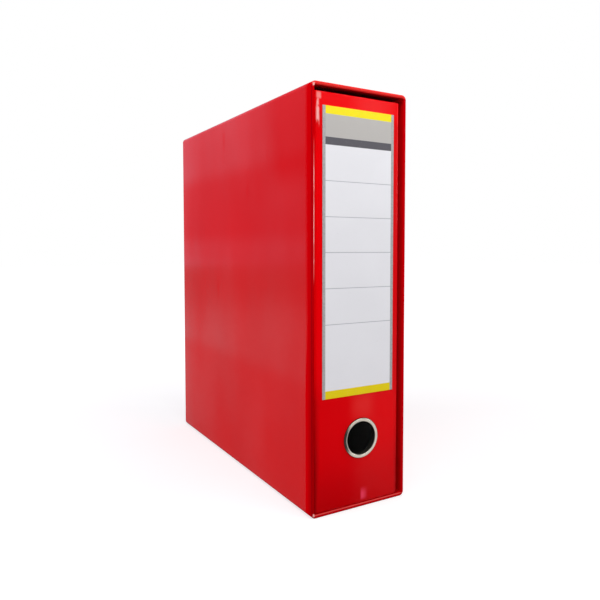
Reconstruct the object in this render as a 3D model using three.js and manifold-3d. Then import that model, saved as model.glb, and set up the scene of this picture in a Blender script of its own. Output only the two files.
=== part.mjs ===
// A lever arch file standing in its open-fronted slipcase.
//
// Millimetres, +Z up. The origin is the middle of the slipcase's underside. The spine and the
// slipcase's mouth face -Y, and +X is to the right when the spine is read.
//
// The slipcase is five boards in a wrap. The file is three boards in a wrap with a lining, and its
// back cover, on the left, carries the mechanism: a base plate with two fixed posts, and a wire arch
// that swings off the posts when the lever is lifted.

import * as THREE from 'three';
import { mergeVertices } from 'three/addons/utils/BufferGeometryUtils.js';
import Module from 'manifold-3d';

const wasm = await Module();
wasm.setup();

// ---------------------------------------------------------------- general fits

const GAP = 0.3;                 // between pieces that lie against each other and can move apart
const HOLE_CLEARANCE = 0.3;      // radial, round a fixed shank or pin
const OVERRUN = 5;               // how far a cutting body runs past what it cuts
const WELD = 1e-4;               // corners closer than this are one corner

const BEND_STEPS = 6;            // facets along each bend of a wire or round edge
const SHEET_STEPS = 18;          // facets along the lever's curved handle
const PIN_SEGMENTS = 20;

// ---------------------------------------------------------------- the file

const FILE_THICKNESS = 77.5;
const FILE_HEIGHT = 310.6;
const FILE_DEPTH = 286.2;
const FILE_BOARD = 2.0;
const FILE_WRAP = 0.3;
const FILE_CORNER = 3.3;         // outer radius where the spine meets a cover
const HINGE_GROOVE = 2.0;        // between the spine board and each cover board
const LINING_MARGIN = 5.0;       // turned-in wrap left showing round the lining

// ---------------------------------------------------------------- the slipcase

const CASE_BOARD = 2.0;
const CASE_WRAP = 0.3;
const SIDE_PLAY = 3.0;           // free width to the right of the file
const TOP_PLAY = 3.9;            // free height over the file
const MOUTH_RECESS = 1.2;        // spine face behind the slipcase's front edges
const CASE_TURN_IN = 18;         // wrap turned in behind the front edges

// ---------------------------------------------------------------- spine label and finger ring

const LABEL_WIDTH = 64.5;
const LABEL_THICKNESS = 0.25;
const LABEL_BELOW_TOP = 9.8;     // from the file's top edge
const LABEL_ABOVE_RING = 18.4;   // between the ring's flange and the label's lower edge
const LABEL_OFFSET = 0.5;        // to the right of the spine's middle

const RING_BORE = 12.7;          // radius of the finger hole
const RING_FLANGE = 15.6;        // outer radius of the rolled front
const RING_PROUD = 1.1;          // of the spine face
const RING_WALL = 0.6;
const RING_ABOVE_BOTTOM = 50.8;  // centre, from the file's bottom edge
const RING_OFFSET = 2.9;         // to the right of the spine's middle
const RING_TAIL = 15.0;          // outer radius of the clenched inner end
const WASHER_RADIUS = 17.5;
const WASHER_THICKNESS = 0.6;
const RING_SEGMENTS = 36;
const ROLL_STEPS = 8;            // facets over the rolled front

// ---------------------------------------------------------------- the mechanism
//
// Distances from the back cover's inner face are heights. Distances from the spine's inner face
// are reaches. Distances up and down from the mechanism's middle are offsets.

const PLATE_THICKNESS = 1.0;
const PLATE_RIM = 3.5;           // height of the turned-up long edges
const PLATE_HALF_LENGTH = 66;
const PLATE_PAST_AXIS = 9;
const PLATE_PAST_POST = 10;

const POST_SPACING = 80;         // the standard spacing of punched holes
const POST_RADIUS = 2.4;
const POST_FOOT_RADIUS = 4.2;
const POST_FOOT = 1.2;
const POST_SEGMENTS = 20;

const WIRE_RADIUS = 2.0;
const WIRE_SIDES = 10;
const WIRE_BEND = 4.0;           // centre-line radius of the small bends
const ARCH_HEADROOM = 9.8;       // between the arch's top and the front cover
const CRANK_REACH = 14;
const CRANK_RISE = 1.5;
const CRANK_HALF_WIDTH = 14;
const CRANK_BEND = 3.0;

const LUG_THICKNESS = 1.2;
const LUG_WALL = 1.7;            // round the wire's hole
const LUG_OFFSETS = [25, 34];

const ROLLER_RADIUS = 3.0;
const ROLLER_LEAN = THREE.MathUtils.degToRad(20);   // off the crank's top, towards the spine
const ROLLER_CONTACT = 0.35;     // between the roller and the crank
const ROLLER_PIN_RADIUS = 1.0;
const ROLLER_BORE_PLAY = 0.1;
const ROLLER_SIDE_PLAY = 0.6;
const PIVOT_AHEAD = 4.83;        // lever pivot from the roller, away from the spine
const PIVOT_ABOVE = 4.47;        // lever pivot from the roller, away from the cover
const PIVOT_RADIUS = 1.5;
const PIVOT_HEAD_RADIUS = 2.6;
const PIVOT_HEAD = 0.8;

const LEVER_SHEET = 1.2;
const LEVER_HALF_WIDTH = 8.2;    // over both cheeks
const LEVER_TIP_HEADROOM = 8.7;  // between the raised lever's tip and the front cover
const LEVER_LIFT = THREE.MathUtils.degToRad(75);
const LEVER_TO_SPINE = 6.0;      // between the closed lever's tip and the spine
const LEVER_TIP_DROP = 2.2;      // tip below the pivot
const LEVER_DIP = 5.2;           // lowest stretch of the handle below the pivot
const LEVER_BACK = 3.0;          // handle's root above the pivot
const LEVER_HEEL = 1.5;          // handle's end behind the pivot
const HANDLE_FALL = 0.4;         // shares of the reach: where the handle passes below the pivot,
const HANDLE_FLAT = 0.7;         // where its lowest stretch begins
const HANDLE_TURN = 0.92;        // and where its tip turns up
const HANDLE_FALL_DROP = 1.0;    // depth below the pivot at the first of them
const CHEEK_SHOULDER = 5.7;      // from the pivot, where the cheek starts to taper
const CHEEK_LENGTH = 17;
const CHEEK_END = 0.6;           // height of the cheek's far end above the pivot
const PIVOT_BOSS = 2.8;
const ROLLER_BOSS = 2.4;
const LINK_HALF_WIDTH = 1.9;     // half the cheek's waist between its two bosses

const EAR_THICKNESS = 1.2;
const EAR_GAP = 0.4;             // between a lever cheek and its ear
const EAR_RADIUS = 3.4;
const EAR_FOOT = 4.5;            // length of the ear's foot along the plate

const POST_PAST_PIVOT = 8;       // from the lever's pivot to the posts

const SPRING_WIRE = 0.6;         // radius
const SPRING_PLAY = 0.4;         // round the wire, and between the coil and the plate
const SPRING_TURNS = 4;
const SPRING_PITCH = 1.4;
const SPRING_START = 22.2;       // offset of the outer end
const SPRING_LEG = 9;
const SPRING_SIDES = 6;
const SPRING_STEPS = 12;         // per turn

const RIVET_RADIUS = 2.0;
const RIVET_HEAD = 4.0;
const RIVET_DOME = 1.2;
const RIVET_SHOULDER = [0.8, 0.7];   // shares of the head's radius and dome
const RIVET_CROWN = 0.4;         // share of the head's radius that is flat on top
const RIVET_OFFSET = 57;         // up and down from the middle
const RIVET_SEGMENTS = 16;

const BAR_SHEET = 1.0;
const BAR_EYE_RADIUS = 6.5;
const BAR_POST_PLAY = 0.3;
const BAR_WIDTH = 8.5;
const BAR_START = 1.6;           // inner edge of the bar's middle behind the posts' centre line
const BAR_FLANGE = 4.0;
const BAR_ABOVE_FOOT = 0.6;

// ---------------------------------------------------------------- worked-out places

const FILE_WALL = FILE_WRAP + FILE_BOARD + FILE_WRAP;
const CASE_WALL = CASE_WRAP + CASE_BOARD;
const CASE_LIP = CASE_WALL + CASE_WRAP;            // wall thickness where the wrap is turned in

const CASE_WIDTH = CASE_LIP + GAP + FILE_THICKNESS + SIDE_PLAY + CASE_LIP;
const CASE_HEIGHT = CASE_LIP + GAP + FILE_HEIGHT + TOP_PLAY + CASE_LIP;
const CASE_DEPTH = MOUTH_RECESS + FILE_DEPTH + GAP + CASE_WALL;

const CASE_LEFT = -CASE_WIDTH / 2;
const CASE_RIGHT = CASE_WIDTH / 2;
const CASE_FRONT = -CASE_DEPTH / 2;
const CASE_BACK = CASE_DEPTH / 2;

const FILE_LEFT = CASE_LEFT + CASE_LIP + GAP;
const FILE_RIGHT = FILE_LEFT + FILE_THICKNESS;
const FILE_FRONT = CASE_FRONT + MOUTH_RECESS;
const FILE_REAR = FILE_FRONT + FILE_DEPTH;
const FILE_BOTTOM = CASE_LIP + GAP;
const FILE_TOP = FILE_BOTTOM + FILE_HEIGHT;
const FILE_MIDDLE_X = (FILE_LEFT + FILE_RIGHT) / 2;
const FILE_MIDDLE_Z = (FILE_BOTTOM + FILE_TOP) / 2;

const COVER_INSIDE = FILE_LEFT + FILE_WALL;        // inner face of the back cover
const SPINE_INSIDE = FILE_FRONT + FILE_WALL;
const ROOM = FILE_THICKNESS - 2 * FILE_WALL;       // between the two covers

const RING_X = FILE_MIDDLE_X + RING_OFFSET;
const RING_Z = FILE_BOTTOM + RING_ABOVE_BOTTOM;
const RING_HOLE = RING_BORE + RING_WALL + HOLE_CLEARANCE;   // radius of the hole in the spine

const LABEL_HEIGHT = FILE_HEIGHT - LABEL_BELOW_TOP - LABEL_ABOVE_RING - RING_ABOVE_BOTTOM - RING_FLANGE;

const SPRING_COIL = WIRE_RADIUS + SPRING_PLAY + SPRING_WIRE;   // centre-line radius
const SPRING_TAIL = PLATE_PAST_AXIS - PLATE_THICKNESS - SPRING_PLAY;
const AXIS_HEIGHT = PLATE_THICKNESS + SPRING_PLAY + SPRING_WIRE + SPRING_COIL;
const LUG_RADIUS = WIRE_RADIUS + HOLE_CLEARANCE + LUG_WALL;

// Heights and reaches of the linkage. The roller leans on the crank, and the lever's pivot stands
// off the roller, so all three move together with the arch's axis.
const CRANK_TO_ROLLER = ROLLER_RADIUS + WIRE_RADIUS + ROLLER_CONTACT;
const ROLLER_FROM_AXIS = CRANK_REACH - CRANK_TO_ROLLER * Math.sin(ROLLER_LEAN);
const ROLLER_HEIGHT = AXIS_HEIGHT + CRANK_RISE + CRANK_TO_ROLLER * Math.cos(ROLLER_LEAN);
const PIVOT_HEIGHT = ROLLER_HEIGHT + PIVOT_ABOVE;

// The lever is as long as the closed covers leave room for when it is raised.
const LEVER_REACH = (ROOM - LEVER_TIP_HEADROOM - PIVOT_HEIGHT
  + LEVER_TIP_DROP * Math.cos(LEVER_LIFT)) / Math.sin(LEVER_LIFT);
const PIVOT_REACH = LEVER_TO_SPINE + LEVER_REACH;
const ROLLER_REACH = PIVOT_REACH - PIVOT_AHEAD;
const AXIS_REACH = ROLLER_REACH - ROLLER_FROM_AXIS;
const POST_REACH = PIVOT_REACH + POST_PAST_PIVOT;

const ARCH_BEND = (POST_REACH - AXIS_REACH) / 2;   // the arch's top is a half circle
const ARCH_TOP = ROOM - ARCH_HEADROOM - WIRE_RADIUS;
const POST_TOP = ARCH_TOP - ARCH_BEND - GAP;

const CHEEK_INSIDE = LEVER_HALF_WIDTH - LEVER_SHEET;
const EAR_INSIDE = LEVER_HALF_WIDTH + EAR_GAP;
const EAR_OUTSIDE = EAR_INSIDE + EAR_THICKNESS;

// ---------------------------------------------------------------- finishes

const FINISH = {
  redFilm: { color: 0xc81e26, roughness: 0.35, metalness: 0 },
  greyBoard: { color: 0x8d8780, roughness: 0.9, metalness: 0 },
  lining: { color: 0xd9d6cf, roughness: 0.75, metalness: 0 },
  label: { color: 0xe2ddd8, roughness: 0.5, metalness: 0 },
  nickel: { color: 0xc9c2b4, roughness: 0.22, metalness: 1 },
  steel: { color: 0xb4b6b8, roughness: 0.35, metalness: 1 },
};

// ---------------------------------------------------------------- solids

// A closed three.js geometry as a solid that can be joined and cut.
function solidOf(geometry) {
  geometry.deleteAttribute('normal');
  geometry.deleteAttribute('uv');
  const merged = mergeVertices(geometry, WELD);
  const corners = merged.index.array;
  const kept = [];
  for (let i = 0; i < corners.length; i += 3) {
    const [a, b, c] = [corners[i], corners[i + 1], corners[i + 2]];
    if (a !== b && b !== c && c !== a) kept.push(a, b, c);
  }
  return new wasm.Manifold(new wasm.Mesh({
    numProp: 3,
    vertProperties: merged.attributes.position.array,
    triVerts: Uint32Array.from(kept),
  }));
}

function block(x0, x1, y0, y1, z0, z1) {
  const box = new THREE.BoxGeometry(x1 - x0, y1 - y0, z1 - z0);
  return solidOf(box.translate((x0 + x1) / 2, (y0 + y1) / 2, (z0 + z1) / 2));
}

// A flat outline carried up from z0 to z1.
function prism(shape, z0, z1, curveSegments = BEND_STEPS) {
  const options = { depth: z1 - z0, bevelEnabled: false, curveSegments };
  return solidOf(new THREE.ExtrudeGeometry(shape, options).translate(0, 0, z0));
}

// A profile of [radius, height] points, turned about +Y.
function turned(profile, segments) {
  const points = profile.map(([radius, height]) => new THREE.Vector2(radius, height));
  return new THREE.LatheGeometry(points, segments);
}

// A round bar along Z.
function barZ(radius, x, y, z0, z1, segments) {
  const profile = [[0, z0], [radius, z0], [radius, z1], [0, z1]];
  return solidOf(turned(profile, segments).rotateX(Math.PI / 2).translate(x, y, 0));
}

// A profile of [radius, height] points, turned about +X.
function turnedX(profile, y, z, segments) {
  return solidOf(turned(profile, segments).rotateZ(-Math.PI / 2).translate(0, y, z));
}

// A block whose two front corners, where the spine meets the covers, are round.
function roundFronted(inset, radius, rear, z0, z1) {
  const [x0, x1, y0] = [FILE_LEFT + inset, FILE_RIGHT - inset, FILE_FRONT + inset];
  const shape = new THREE.Shape();
  shape.moveTo(x0, rear);
  shape.lineTo(x0, y0 + radius);
  shape.absarc(x0 + radius, y0 + radius, radius, Math.PI, 1.5 * Math.PI);
  shape.absarc(x1 - radius, y0 + radius, radius, 1.5 * Math.PI, 2 * Math.PI);
  shape.lineTo(x1, rear);
  return prism(shape, z0, z1);
}

// The box inside the file, grown or shrunk by its distance from the outer faces.
function insideOf(inset, rear, z0, z1) {
  return block(FILE_LEFT + inset, FILE_RIGHT - inset, FILE_FRONT + inset, rear, z0, z1);
}

// A path through stations, each with its own direction, for a wire that is straight between bends.
class WireRoute extends THREE.Curve {
  constructor() {
    super();
    this.points = [];
    this.directions = [];
  }

  add(point, direction) {
    this.points.push(point);
    this.directions.push(direction.clone().normalize());
  }

  stationOf(u) {
    return Math.round(u * (this.points.length - 1));
  }

  getPointAt(u) {
    return this.points[this.stationOf(u)].clone();
  }

  getTangentAt(u) {
    return this.directions[this.stationOf(u)].clone();
  }
}

// A wire route through corners, each rounded by its own bend radius.
function bentRoute(corners, bends) {
  const route = new WireRoute();
  const first = corners[1].clone().sub(corners[0]);
  route.add(corners[0], first);
  bends.forEach((bend, i) => {
    const corner = corners[i + 1];
    const before = corner.clone().sub(corners[i]).normalize();
    const after = corners[i + 2].clone().sub(corner).normalize();
    const turn = before.angleTo(after);
    const side = after.clone().addScaledVector(before, -Math.cos(turn)).normalize();
    const start = corner.clone().addScaledVector(before, -bend * Math.tan(turn / 2));
    for (let k = 0; k <= BEND_STEPS; k += 1) {
      const angle = turn * k / BEND_STEPS;
      const point = start.clone().addScaledVector(before, bend * Math.sin(angle))
        .addScaledVector(side, bend * (1 - Math.cos(angle)));
      const direction = before.clone().multiplyScalar(Math.cos(angle))
        .addScaledVector(side, Math.sin(angle));
      route.add(point, direction);
    }
  });
  const last = corners[corners.length - 1];
  route.add(last, last.clone().sub(corners[corners.length - 2]));
  return route;
}

// A round wire along a route.
function wire(route, radius, sides) {
  const section = new THREE.Shape();
  for (let i = 0; i < sides; i += 1) {
    const angle = 2 * Math.PI * i / sides;
    const [x, y] = [radius * Math.cos(angle), radius * Math.sin(angle)];
    if (i === 0) section.moveTo(x, y);
    else section.lineTo(x, y);
  }
  const options = { steps: route.points.length - 1, bevelEnabled: false, extrudePath: route };
  return solidOf(new THREE.ExtrudeGeometry(section, options));
}

// A strip of even thickness along a smooth line through [reach, height] points.
function strip(points, thickness, z0, z1) {
  const corners = points.map(([reach, height]) => new THREE.Vector2(height, reach));
  const line = new THREE.SplineCurve(corners);
  const [near, far] = [[], []];
  for (let i = 0; i <= SHEET_STEPS; i += 1) {
    const point = line.getPoint(i / SHEET_STEPS);
    const tangent = line.getTangent(i / SHEET_STEPS);
    const across = new THREE.Vector2(-tangent.y, tangent.x).multiplyScalar(thickness / 2);
    near.push(point.clone().add(across));
    far.unshift(point.clone().sub(across));
  }
  return prism(new THREE.Shape([...near, ...far]), z0, z1);
}

// An outline of [reach, height] corners in the mechanism's own frame.
function plateShape(corners) {
  return new THREE.Shape(corners.map(([reach, height]) => new THREE.Vector2(height, reach)));
}

function disc(reach, height, radius, z0, z1, segments = PIN_SEGMENTS) {
  return barZ(radius, height, reach, z0, z1, segments);
}

function joined(solids) {
  return solids.reduce((whole, next) => whole.add(next));
}

// ---------------------------------------------------------------- scene graph

const part = new THREE.Group();
const slipcase = new THREE.Group();
const file = new THREE.Group();
const mechanism = new THREE.Group();
mechanism.position.set(COVER_INSIDE, SPINE_INSIDE, FILE_MIDDLE_Z);
file.add(mechanism);
part.add(slipcase, file);

function place(group, name, solid, finish) {
  const faces = solid.getMesh();
  const geometry = new THREE.BufferGeometry();
  geometry.setAttribute('position', new THREE.BufferAttribute(faces.vertProperties, 3));
  geometry.setIndex(new THREE.BufferAttribute(faces.triVerts, 1));
  geometry.computeVertexNormals();
  const mesh = new THREE.Mesh(geometry, new THREE.MeshStandardMaterial(finish));
  mesh.name = name;
  group.add(mesh);
}

// ---------------------------------------------------------------- slipcase

// The side boards run the full height and depth, and the other three fit between them.
function addCaseBoards() {
  const [left, right] = [CASE_LEFT + CASE_WRAP, CASE_RIGHT - CASE_WRAP];
  const [front, back] = [CASE_FRONT + CASE_WRAP, CASE_BACK - CASE_WRAP];
  const [bottom, top] = [CASE_WRAP, CASE_HEIGHT - CASE_WRAP];
  const [inLeft, inRight, inBack] = [left + CASE_BOARD, right - CASE_BOARD, back - CASE_BOARD];
  const boards = {
    case_left_board: block(left, inLeft, front, back, bottom, top),
    case_right_board: block(inRight, right, front, back, bottom, top),
    case_back_board: block(inLeft, inRight, inBack, back, bottom, top),
    case_top_board: block(inLeft, inRight, front, inBack, top - CASE_BOARD, top),
    case_bottom_board: block(inLeft, inRight, front, inBack, bottom, bottom + CASE_BOARD),
  };
  for (const [name, solid] of Object.entries(boards)) place(slipcase, name, solid, FINISH.greyBoard);
}

// One sheet round the left, back and right, turned in behind both upright front edges.
function caseSideWrap() {
  const [bottom, top] = [CASE_WRAP, CASE_HEIGHT - CASE_WRAP];
  const outer = block(CASE_LEFT, CASE_RIGHT, CASE_FRONT, CASE_BACK, bottom, top);
  const core = block(CASE_LEFT + CASE_WRAP, CASE_RIGHT - CASE_WRAP,
    CASE_FRONT - OVERRUN, CASE_BACK - CASE_WRAP, bottom - OVERRUN, top + OVERRUN);
  const edge = CASE_FRONT + CASE_WRAP;
  const [lipBottom, lipTop] = [CASE_LIP, CASE_HEIGHT - CASE_LIP];
  const left = [
    block(CASE_LEFT, CASE_LEFT + CASE_WALL, CASE_FRONT, edge, bottom, top),
    block(CASE_LEFT + CASE_WALL, CASE_LEFT + CASE_LIP, CASE_FRONT, CASE_FRONT + CASE_TURN_IN,
      lipBottom, lipTop),
  ];
  const right = [
    block(CASE_RIGHT - CASE_WALL, CASE_RIGHT, CASE_FRONT, edge, bottom, top),
    block(CASE_RIGHT - CASE_LIP, CASE_RIGHT - CASE_WALL, CASE_FRONT, CASE_FRONT + CASE_TURN_IN,
      lipBottom, lipTop),
  ];
  return joined([outer.subtract(core), ...left, ...right]);
}

// The sheet on the top or the bottom, with its front edge turned in. outer and inner are the
// heights of the sheet's outer face and of the turned-in strip's inner face.
function caseEndWrap(outer, inner) {
  const inwards = Math.sign(inner - outer);
  const span = (from, to) => [Math.min(from, to), Math.max(from, to)];
  const sheet = block(CASE_LEFT, CASE_RIGHT, CASE_FRONT, CASE_BACK,
    ...span(outer, outer + inwards * CASE_WRAP));
  const [left, right] = [CASE_LEFT + CASE_WALL, CASE_RIGHT - CASE_WALL];
  const edge = block(left, right, CASE_FRONT, CASE_FRONT + CASE_WRAP, ...span(outer, inner));
  const strip = block(left, right, CASE_FRONT, CASE_FRONT + CASE_TURN_IN,
    ...span(inner - inwards * CASE_WRAP, inner));
  return joined([sheet, edge, strip]);
}

// ---------------------------------------------------------------- file

// The room between the wrap's outer skin and its turned-in strips, which the boards lie in.
function boardChannel() {
  const [rear, z0, z1] = [FILE_REAR - FILE_WRAP, FILE_BOTTOM + FILE_WRAP, FILE_TOP - FILE_WRAP];
  const outer = roundFronted(FILE_WRAP, FILE_CORNER - FILE_WRAP, rear, z0, z1);
  return outer.subtract(insideOf(FILE_WRAP + FILE_BOARD, rear + OVERRUN, z0 - OVERRUN, z1 + OVERRUN));
}

function liningSheet() {
  const rear = FILE_REAR - LINING_MARGIN;
  const [z0, z1] = [FILE_BOTTOM + LINING_MARGIN, FILE_TOP - LINING_MARGIN];
  const outer = insideOf(FILE_WRAP + FILE_BOARD, rear, z0, z1);
  return outer.subtract(insideOf(FILE_WALL, rear + OVERRUN, z0 - OVERRUN, z1 + OVERRUN));
}

// Spine and covers as one thick U, before the boards and the lining are taken out of it.
function wholeCover() {
  const outer = roundFronted(0, FILE_CORNER, FILE_REAR, FILE_BOTTOM, FILE_TOP);
  return outer.subtract(insideOf(FILE_WALL, FILE_REAR + OVERRUN, FILE_BOTTOM - OVERRUN,
    FILE_TOP + OVERRUN));
}

function ringHole() {
  const profile = [
    [0, FILE_FRONT - OVERRUN],
    [RING_HOLE, FILE_FRONT - OVERRUN],
    [RING_HOLE, SPINE_INSIDE + OVERRUN],
    [0, SPINE_INSIDE + OVERRUN],
  ];
  return solidOf(turned(profile, RING_SEGMENTS).translate(RING_X, 0, RING_Z));
}

// The places of the four rivets, as [reach, offset].
function rivetPlaces() {
  const places = [];
  for (const reach of [AXIS_REACH, POST_REACH]) {
    for (const offset of [-RIVET_OFFSET, RIVET_OFFSET]) places.push([reach, offset]);
  }
  return places;
}

// A round hole through the back cover at every rivet.
function rivetHoles(radius) {
  return joined(rivetPlaces().map(([reach, offset]) => {
    const [from, to] = [FILE_LEFT - OVERRUN, COVER_INSIDE + OVERRUN];
    const profile = [[0, from], [radius, from], [radius, to], [0, to]];
    return turnedX(profile, SPINE_INSIDE + reach, FILE_MIDDLE_Z + offset, RIVET_SEGMENTS);
  }));
}

function addCovers() {
  const channel = boardChannel();
  const lining = liningSheet();
  const shankHoles = rivetHoles(RIVET_RADIUS + HOLE_CLEARANCE);
  const headHoles = rivetHoles(RIVET_HEAD + HOLE_CLEARANCE);
  const hole = ringHole();
  const spineRear = FILE_FRONT + FILE_WRAP + FILE_BOARD;
  const coverFront = spineRear + HINGE_GROOVE;
  const [z0, z1] = [FILE_BOTTOM - OVERRUN, FILE_TOP + OVERRUN];
  const spineSide = block(FILE_LEFT, FILE_RIGHT, FILE_FRONT, spineRear, z0, z1);
  const backSide = block(FILE_LEFT, FILE_MIDDLE_X, coverFront, FILE_REAR, z0, z1);
  const frontSide = block(FILE_MIDDLE_X, FILE_RIGHT, coverFront, FILE_REAR, z0, z1);
  const wrap = wholeCover().subtract(channel).subtract(lining).subtract(hole).subtract(headHoles);
  const backBoard = channel.intersect(backSide).subtract(shankHoles);
  place(file, 'spine_board', channel.intersect(spineSide).subtract(hole), FINISH.greyBoard);
  place(file, 'back_cover_board', backBoard, FINISH.greyBoard);
  place(file, 'front_cover_board', channel.intersect(frontSide), FINISH.greyBoard);
  place(file, 'file_wrap', wrap, FINISH.redFilm);
  place(file, 'file_lining', lining.subtract(hole).subtract(shankHoles), FINISH.lining);
}

function spineLabel() {
  const middle = FILE_MIDDLE_X + LABEL_OFFSET;
  const top = FILE_TOP - LABEL_BELOW_TOP;
  return block(middle - LABEL_WIDTH / 2, middle + LABEL_WIDTH / 2,
    FILE_FRONT - LABEL_THICKNESS, FILE_FRONT, top - LABEL_HEIGHT, top);
}

// A rolled front, a tube through the spine and a clenched tail over the washer.
function ringEyelet() {
  const tube = RING_BORE + RING_WALL;
  const tail = SPINE_INSIDE + WASHER_THICKNESS;
  const rollRadius = (RING_FLANGE - RING_BORE) / 2;
  const profile = [[tube, FILE_FRONT], [tube, tail], [RING_TAIL, tail], [RING_TAIL, tail + RING_WALL]];
  profile.push([RING_BORE + RING_WALL / 2, tail + RING_WALL], [RING_BORE, tail]);
  for (let i = 0; i <= ROLL_STEPS; i += 1) {
    const angle = Math.PI * (1 + i / ROLL_STEPS);
    const radius = RING_BORE + rollRadius + rollRadius * Math.cos(angle);
    profile.push([radius, FILE_FRONT + RING_PROUD * Math.sin(angle)]);
  }
  profile.push([tube, FILE_FRONT]);
  return solidOf(turned(profile, RING_SEGMENTS).translate(RING_X, 0, RING_Z));
}

function ringWasher() {
  const [near, far] = [SPINE_INSIDE, SPINE_INSIDE + WASHER_THICKNESS];
  const profile = [[RING_HOLE, near], [WASHER_RADIUS, near], [WASHER_RADIUS, far], [RING_HOLE, far]];
  profile.push(profile[0]);
  return solidOf(turned(profile, RING_SEGMENTS).translate(RING_X, 0, RING_Z));
}

// ---------------------------------------------------------------- mechanism, in its own frame

// A bearing lug for the arch's axis.
function archLug(offset) {
  const [z0, z1] = [offset - LUG_THICKNESS / 2, offset + LUG_THICKNESS / 2];
  const stem = block(0, AXIS_HEIGHT, AXIS_REACH - LUG_RADIUS, AXIS_REACH + LUG_RADIUS, z0, z1);
  return stem.add(disc(AXIS_REACH, AXIS_HEIGHT, LUG_RADIUS, z0, z1));
}

// An ear for the lever's pivot. It leans back from the crank's path.
function leverEar(z0, z1) {
  const outline = plateShape([
    [PIVOT_REACH, 0],
    [PIVOT_REACH + EAR_FOOT, 0],
    [PIVOT_REACH + EAR_RADIUS, PIVOT_HEIGHT],
    [PIVOT_REACH - EAR_RADIUS, PIVOT_HEIGHT],
    [PIVOT_REACH, PIVOT_HEIGHT / 2],
  ]);
  return prism(outline, z0, z1).add(disc(PIVOT_REACH, PIVOT_HEIGHT, EAR_RADIUS, z0, z1));
}

function basePlate() {
  const [y0, y1] = [AXIS_REACH - PLATE_PAST_AXIS, POST_REACH + PLATE_PAST_POST];
  const [z0, z1] = [-PLATE_HALF_LENGTH, PLATE_HALF_LENGTH];
  const solids = [
    block(0, PLATE_THICKNESS, y0, y1, z0, z1),
    block(0, PLATE_RIM, y0, y0 + PLATE_THICKNESS, z0, z1),
    block(0, PLATE_RIM, y1 - PLATE_THICKNESS, y1, z0, z1),
    leverEar(EAR_INSIDE, EAR_OUTSIDE),
    leverEar(-EAR_OUTSIDE, -EAR_INSIDE),
  ];
  for (const offset of LUG_OFFSETS) solids.push(archLug(offset), archLug(-offset));
  const wireHole = disc(AXIS_REACH, AXIS_HEIGHT, WIRE_RADIUS + HOLE_CLEARANCE, z0, z1);
  const pivotHole = disc(PIVOT_REACH, PIVOT_HEIGHT, PIVOT_RADIUS + HOLE_CLEARANCE, z0, z1);
  const holeRadius = RIVET_RADIUS + HOLE_CLEARANCE;
  const [low, high] = [-OVERRUN, PLATE_THICKNESS + OVERRUN];
  const profile = [[0, low], [holeRadius, low], [holeRadius, high], [0, high]];
  const rivets = rivetPlaces().map(([reach, offset]) => turnedX(profile, reach, offset, RIVET_SEGMENTS));
  return joined(solids).subtract(joined([wireHole, pivotHole, ...rivets]));
}

// A flush outer head, a shank through the cover and the plate, and a domed inner head.
function rivet(reach, offset) {
  const outside = -FILE_WALL;
  const [seat, top] = [PLATE_THICKNESS, PLATE_THICKNESS + RIVET_DOME];
  const [shoulderRadius, shoulderRise] = RIVET_SHOULDER;
  const profile = [
    [0, outside],
    [RIVET_HEAD, outside],
    [RIVET_HEAD, outside + FILE_WRAP],
    [RIVET_RADIUS, outside + FILE_WRAP],
    [RIVET_RADIUS, seat],
    [RIVET_HEAD, seat],
    [RIVET_HEAD * shoulderRadius, seat + RIVET_DOME * shoulderRise],
    [RIVET_HEAD * RIVET_CROWN, top],
    [0, top],
  ];
  return turnedX(profile, reach, offset, RIVET_SEGMENTS);
}

function post(offset) {
  const foot = PLATE_THICKNESS + POST_FOOT;
  const profile = [
    [0, PLATE_THICKNESS],
    [POST_FOOT_RADIUS, PLATE_THICKNESS],
    [POST_FOOT_RADIUS, foot],
    [POST_RADIUS, foot],
    [POST_RADIUS, POST_TOP],
    [0, POST_TOP],
  ];
  return turnedX(profile, POST_REACH, offset, POST_SEGMENTS);
}

// One wire: over from each post to the axis, along the axis, and out to the crank in the middle.
function arch() {
  const half = POST_SPACING / 2;
  const side = (sign) => [
    new THREE.Vector3(POST_TOP + GAP, POST_REACH, sign * half),
    new THREE.Vector3(ARCH_TOP, POST_REACH, sign * half),
    new THREE.Vector3(ARCH_TOP, AXIS_REACH, sign * half),
    new THREE.Vector3(AXIS_HEIGHT, AXIS_REACH, sign * half),
    new THREE.Vector3(AXIS_HEIGHT, AXIS_REACH, sign * CRANK_HALF_WIDTH),
    new THREE.Vector3(AXIS_HEIGHT + CRANK_RISE, AXIS_REACH + CRANK_REACH, sign * CRANK_HALF_WIDTH),
  ];
  const corners = [...side(1), ...side(-1).reverse()];
  const bends = [ARCH_BEND, ARCH_BEND, WIRE_BEND, CRANK_BEND, CRANK_BEND];
  const route = bentRoute(corners, [...bends, ...bends.slice().reverse()]);
  return wire(route, WIRE_RADIUS, WIRE_SIDES);
}

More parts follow.
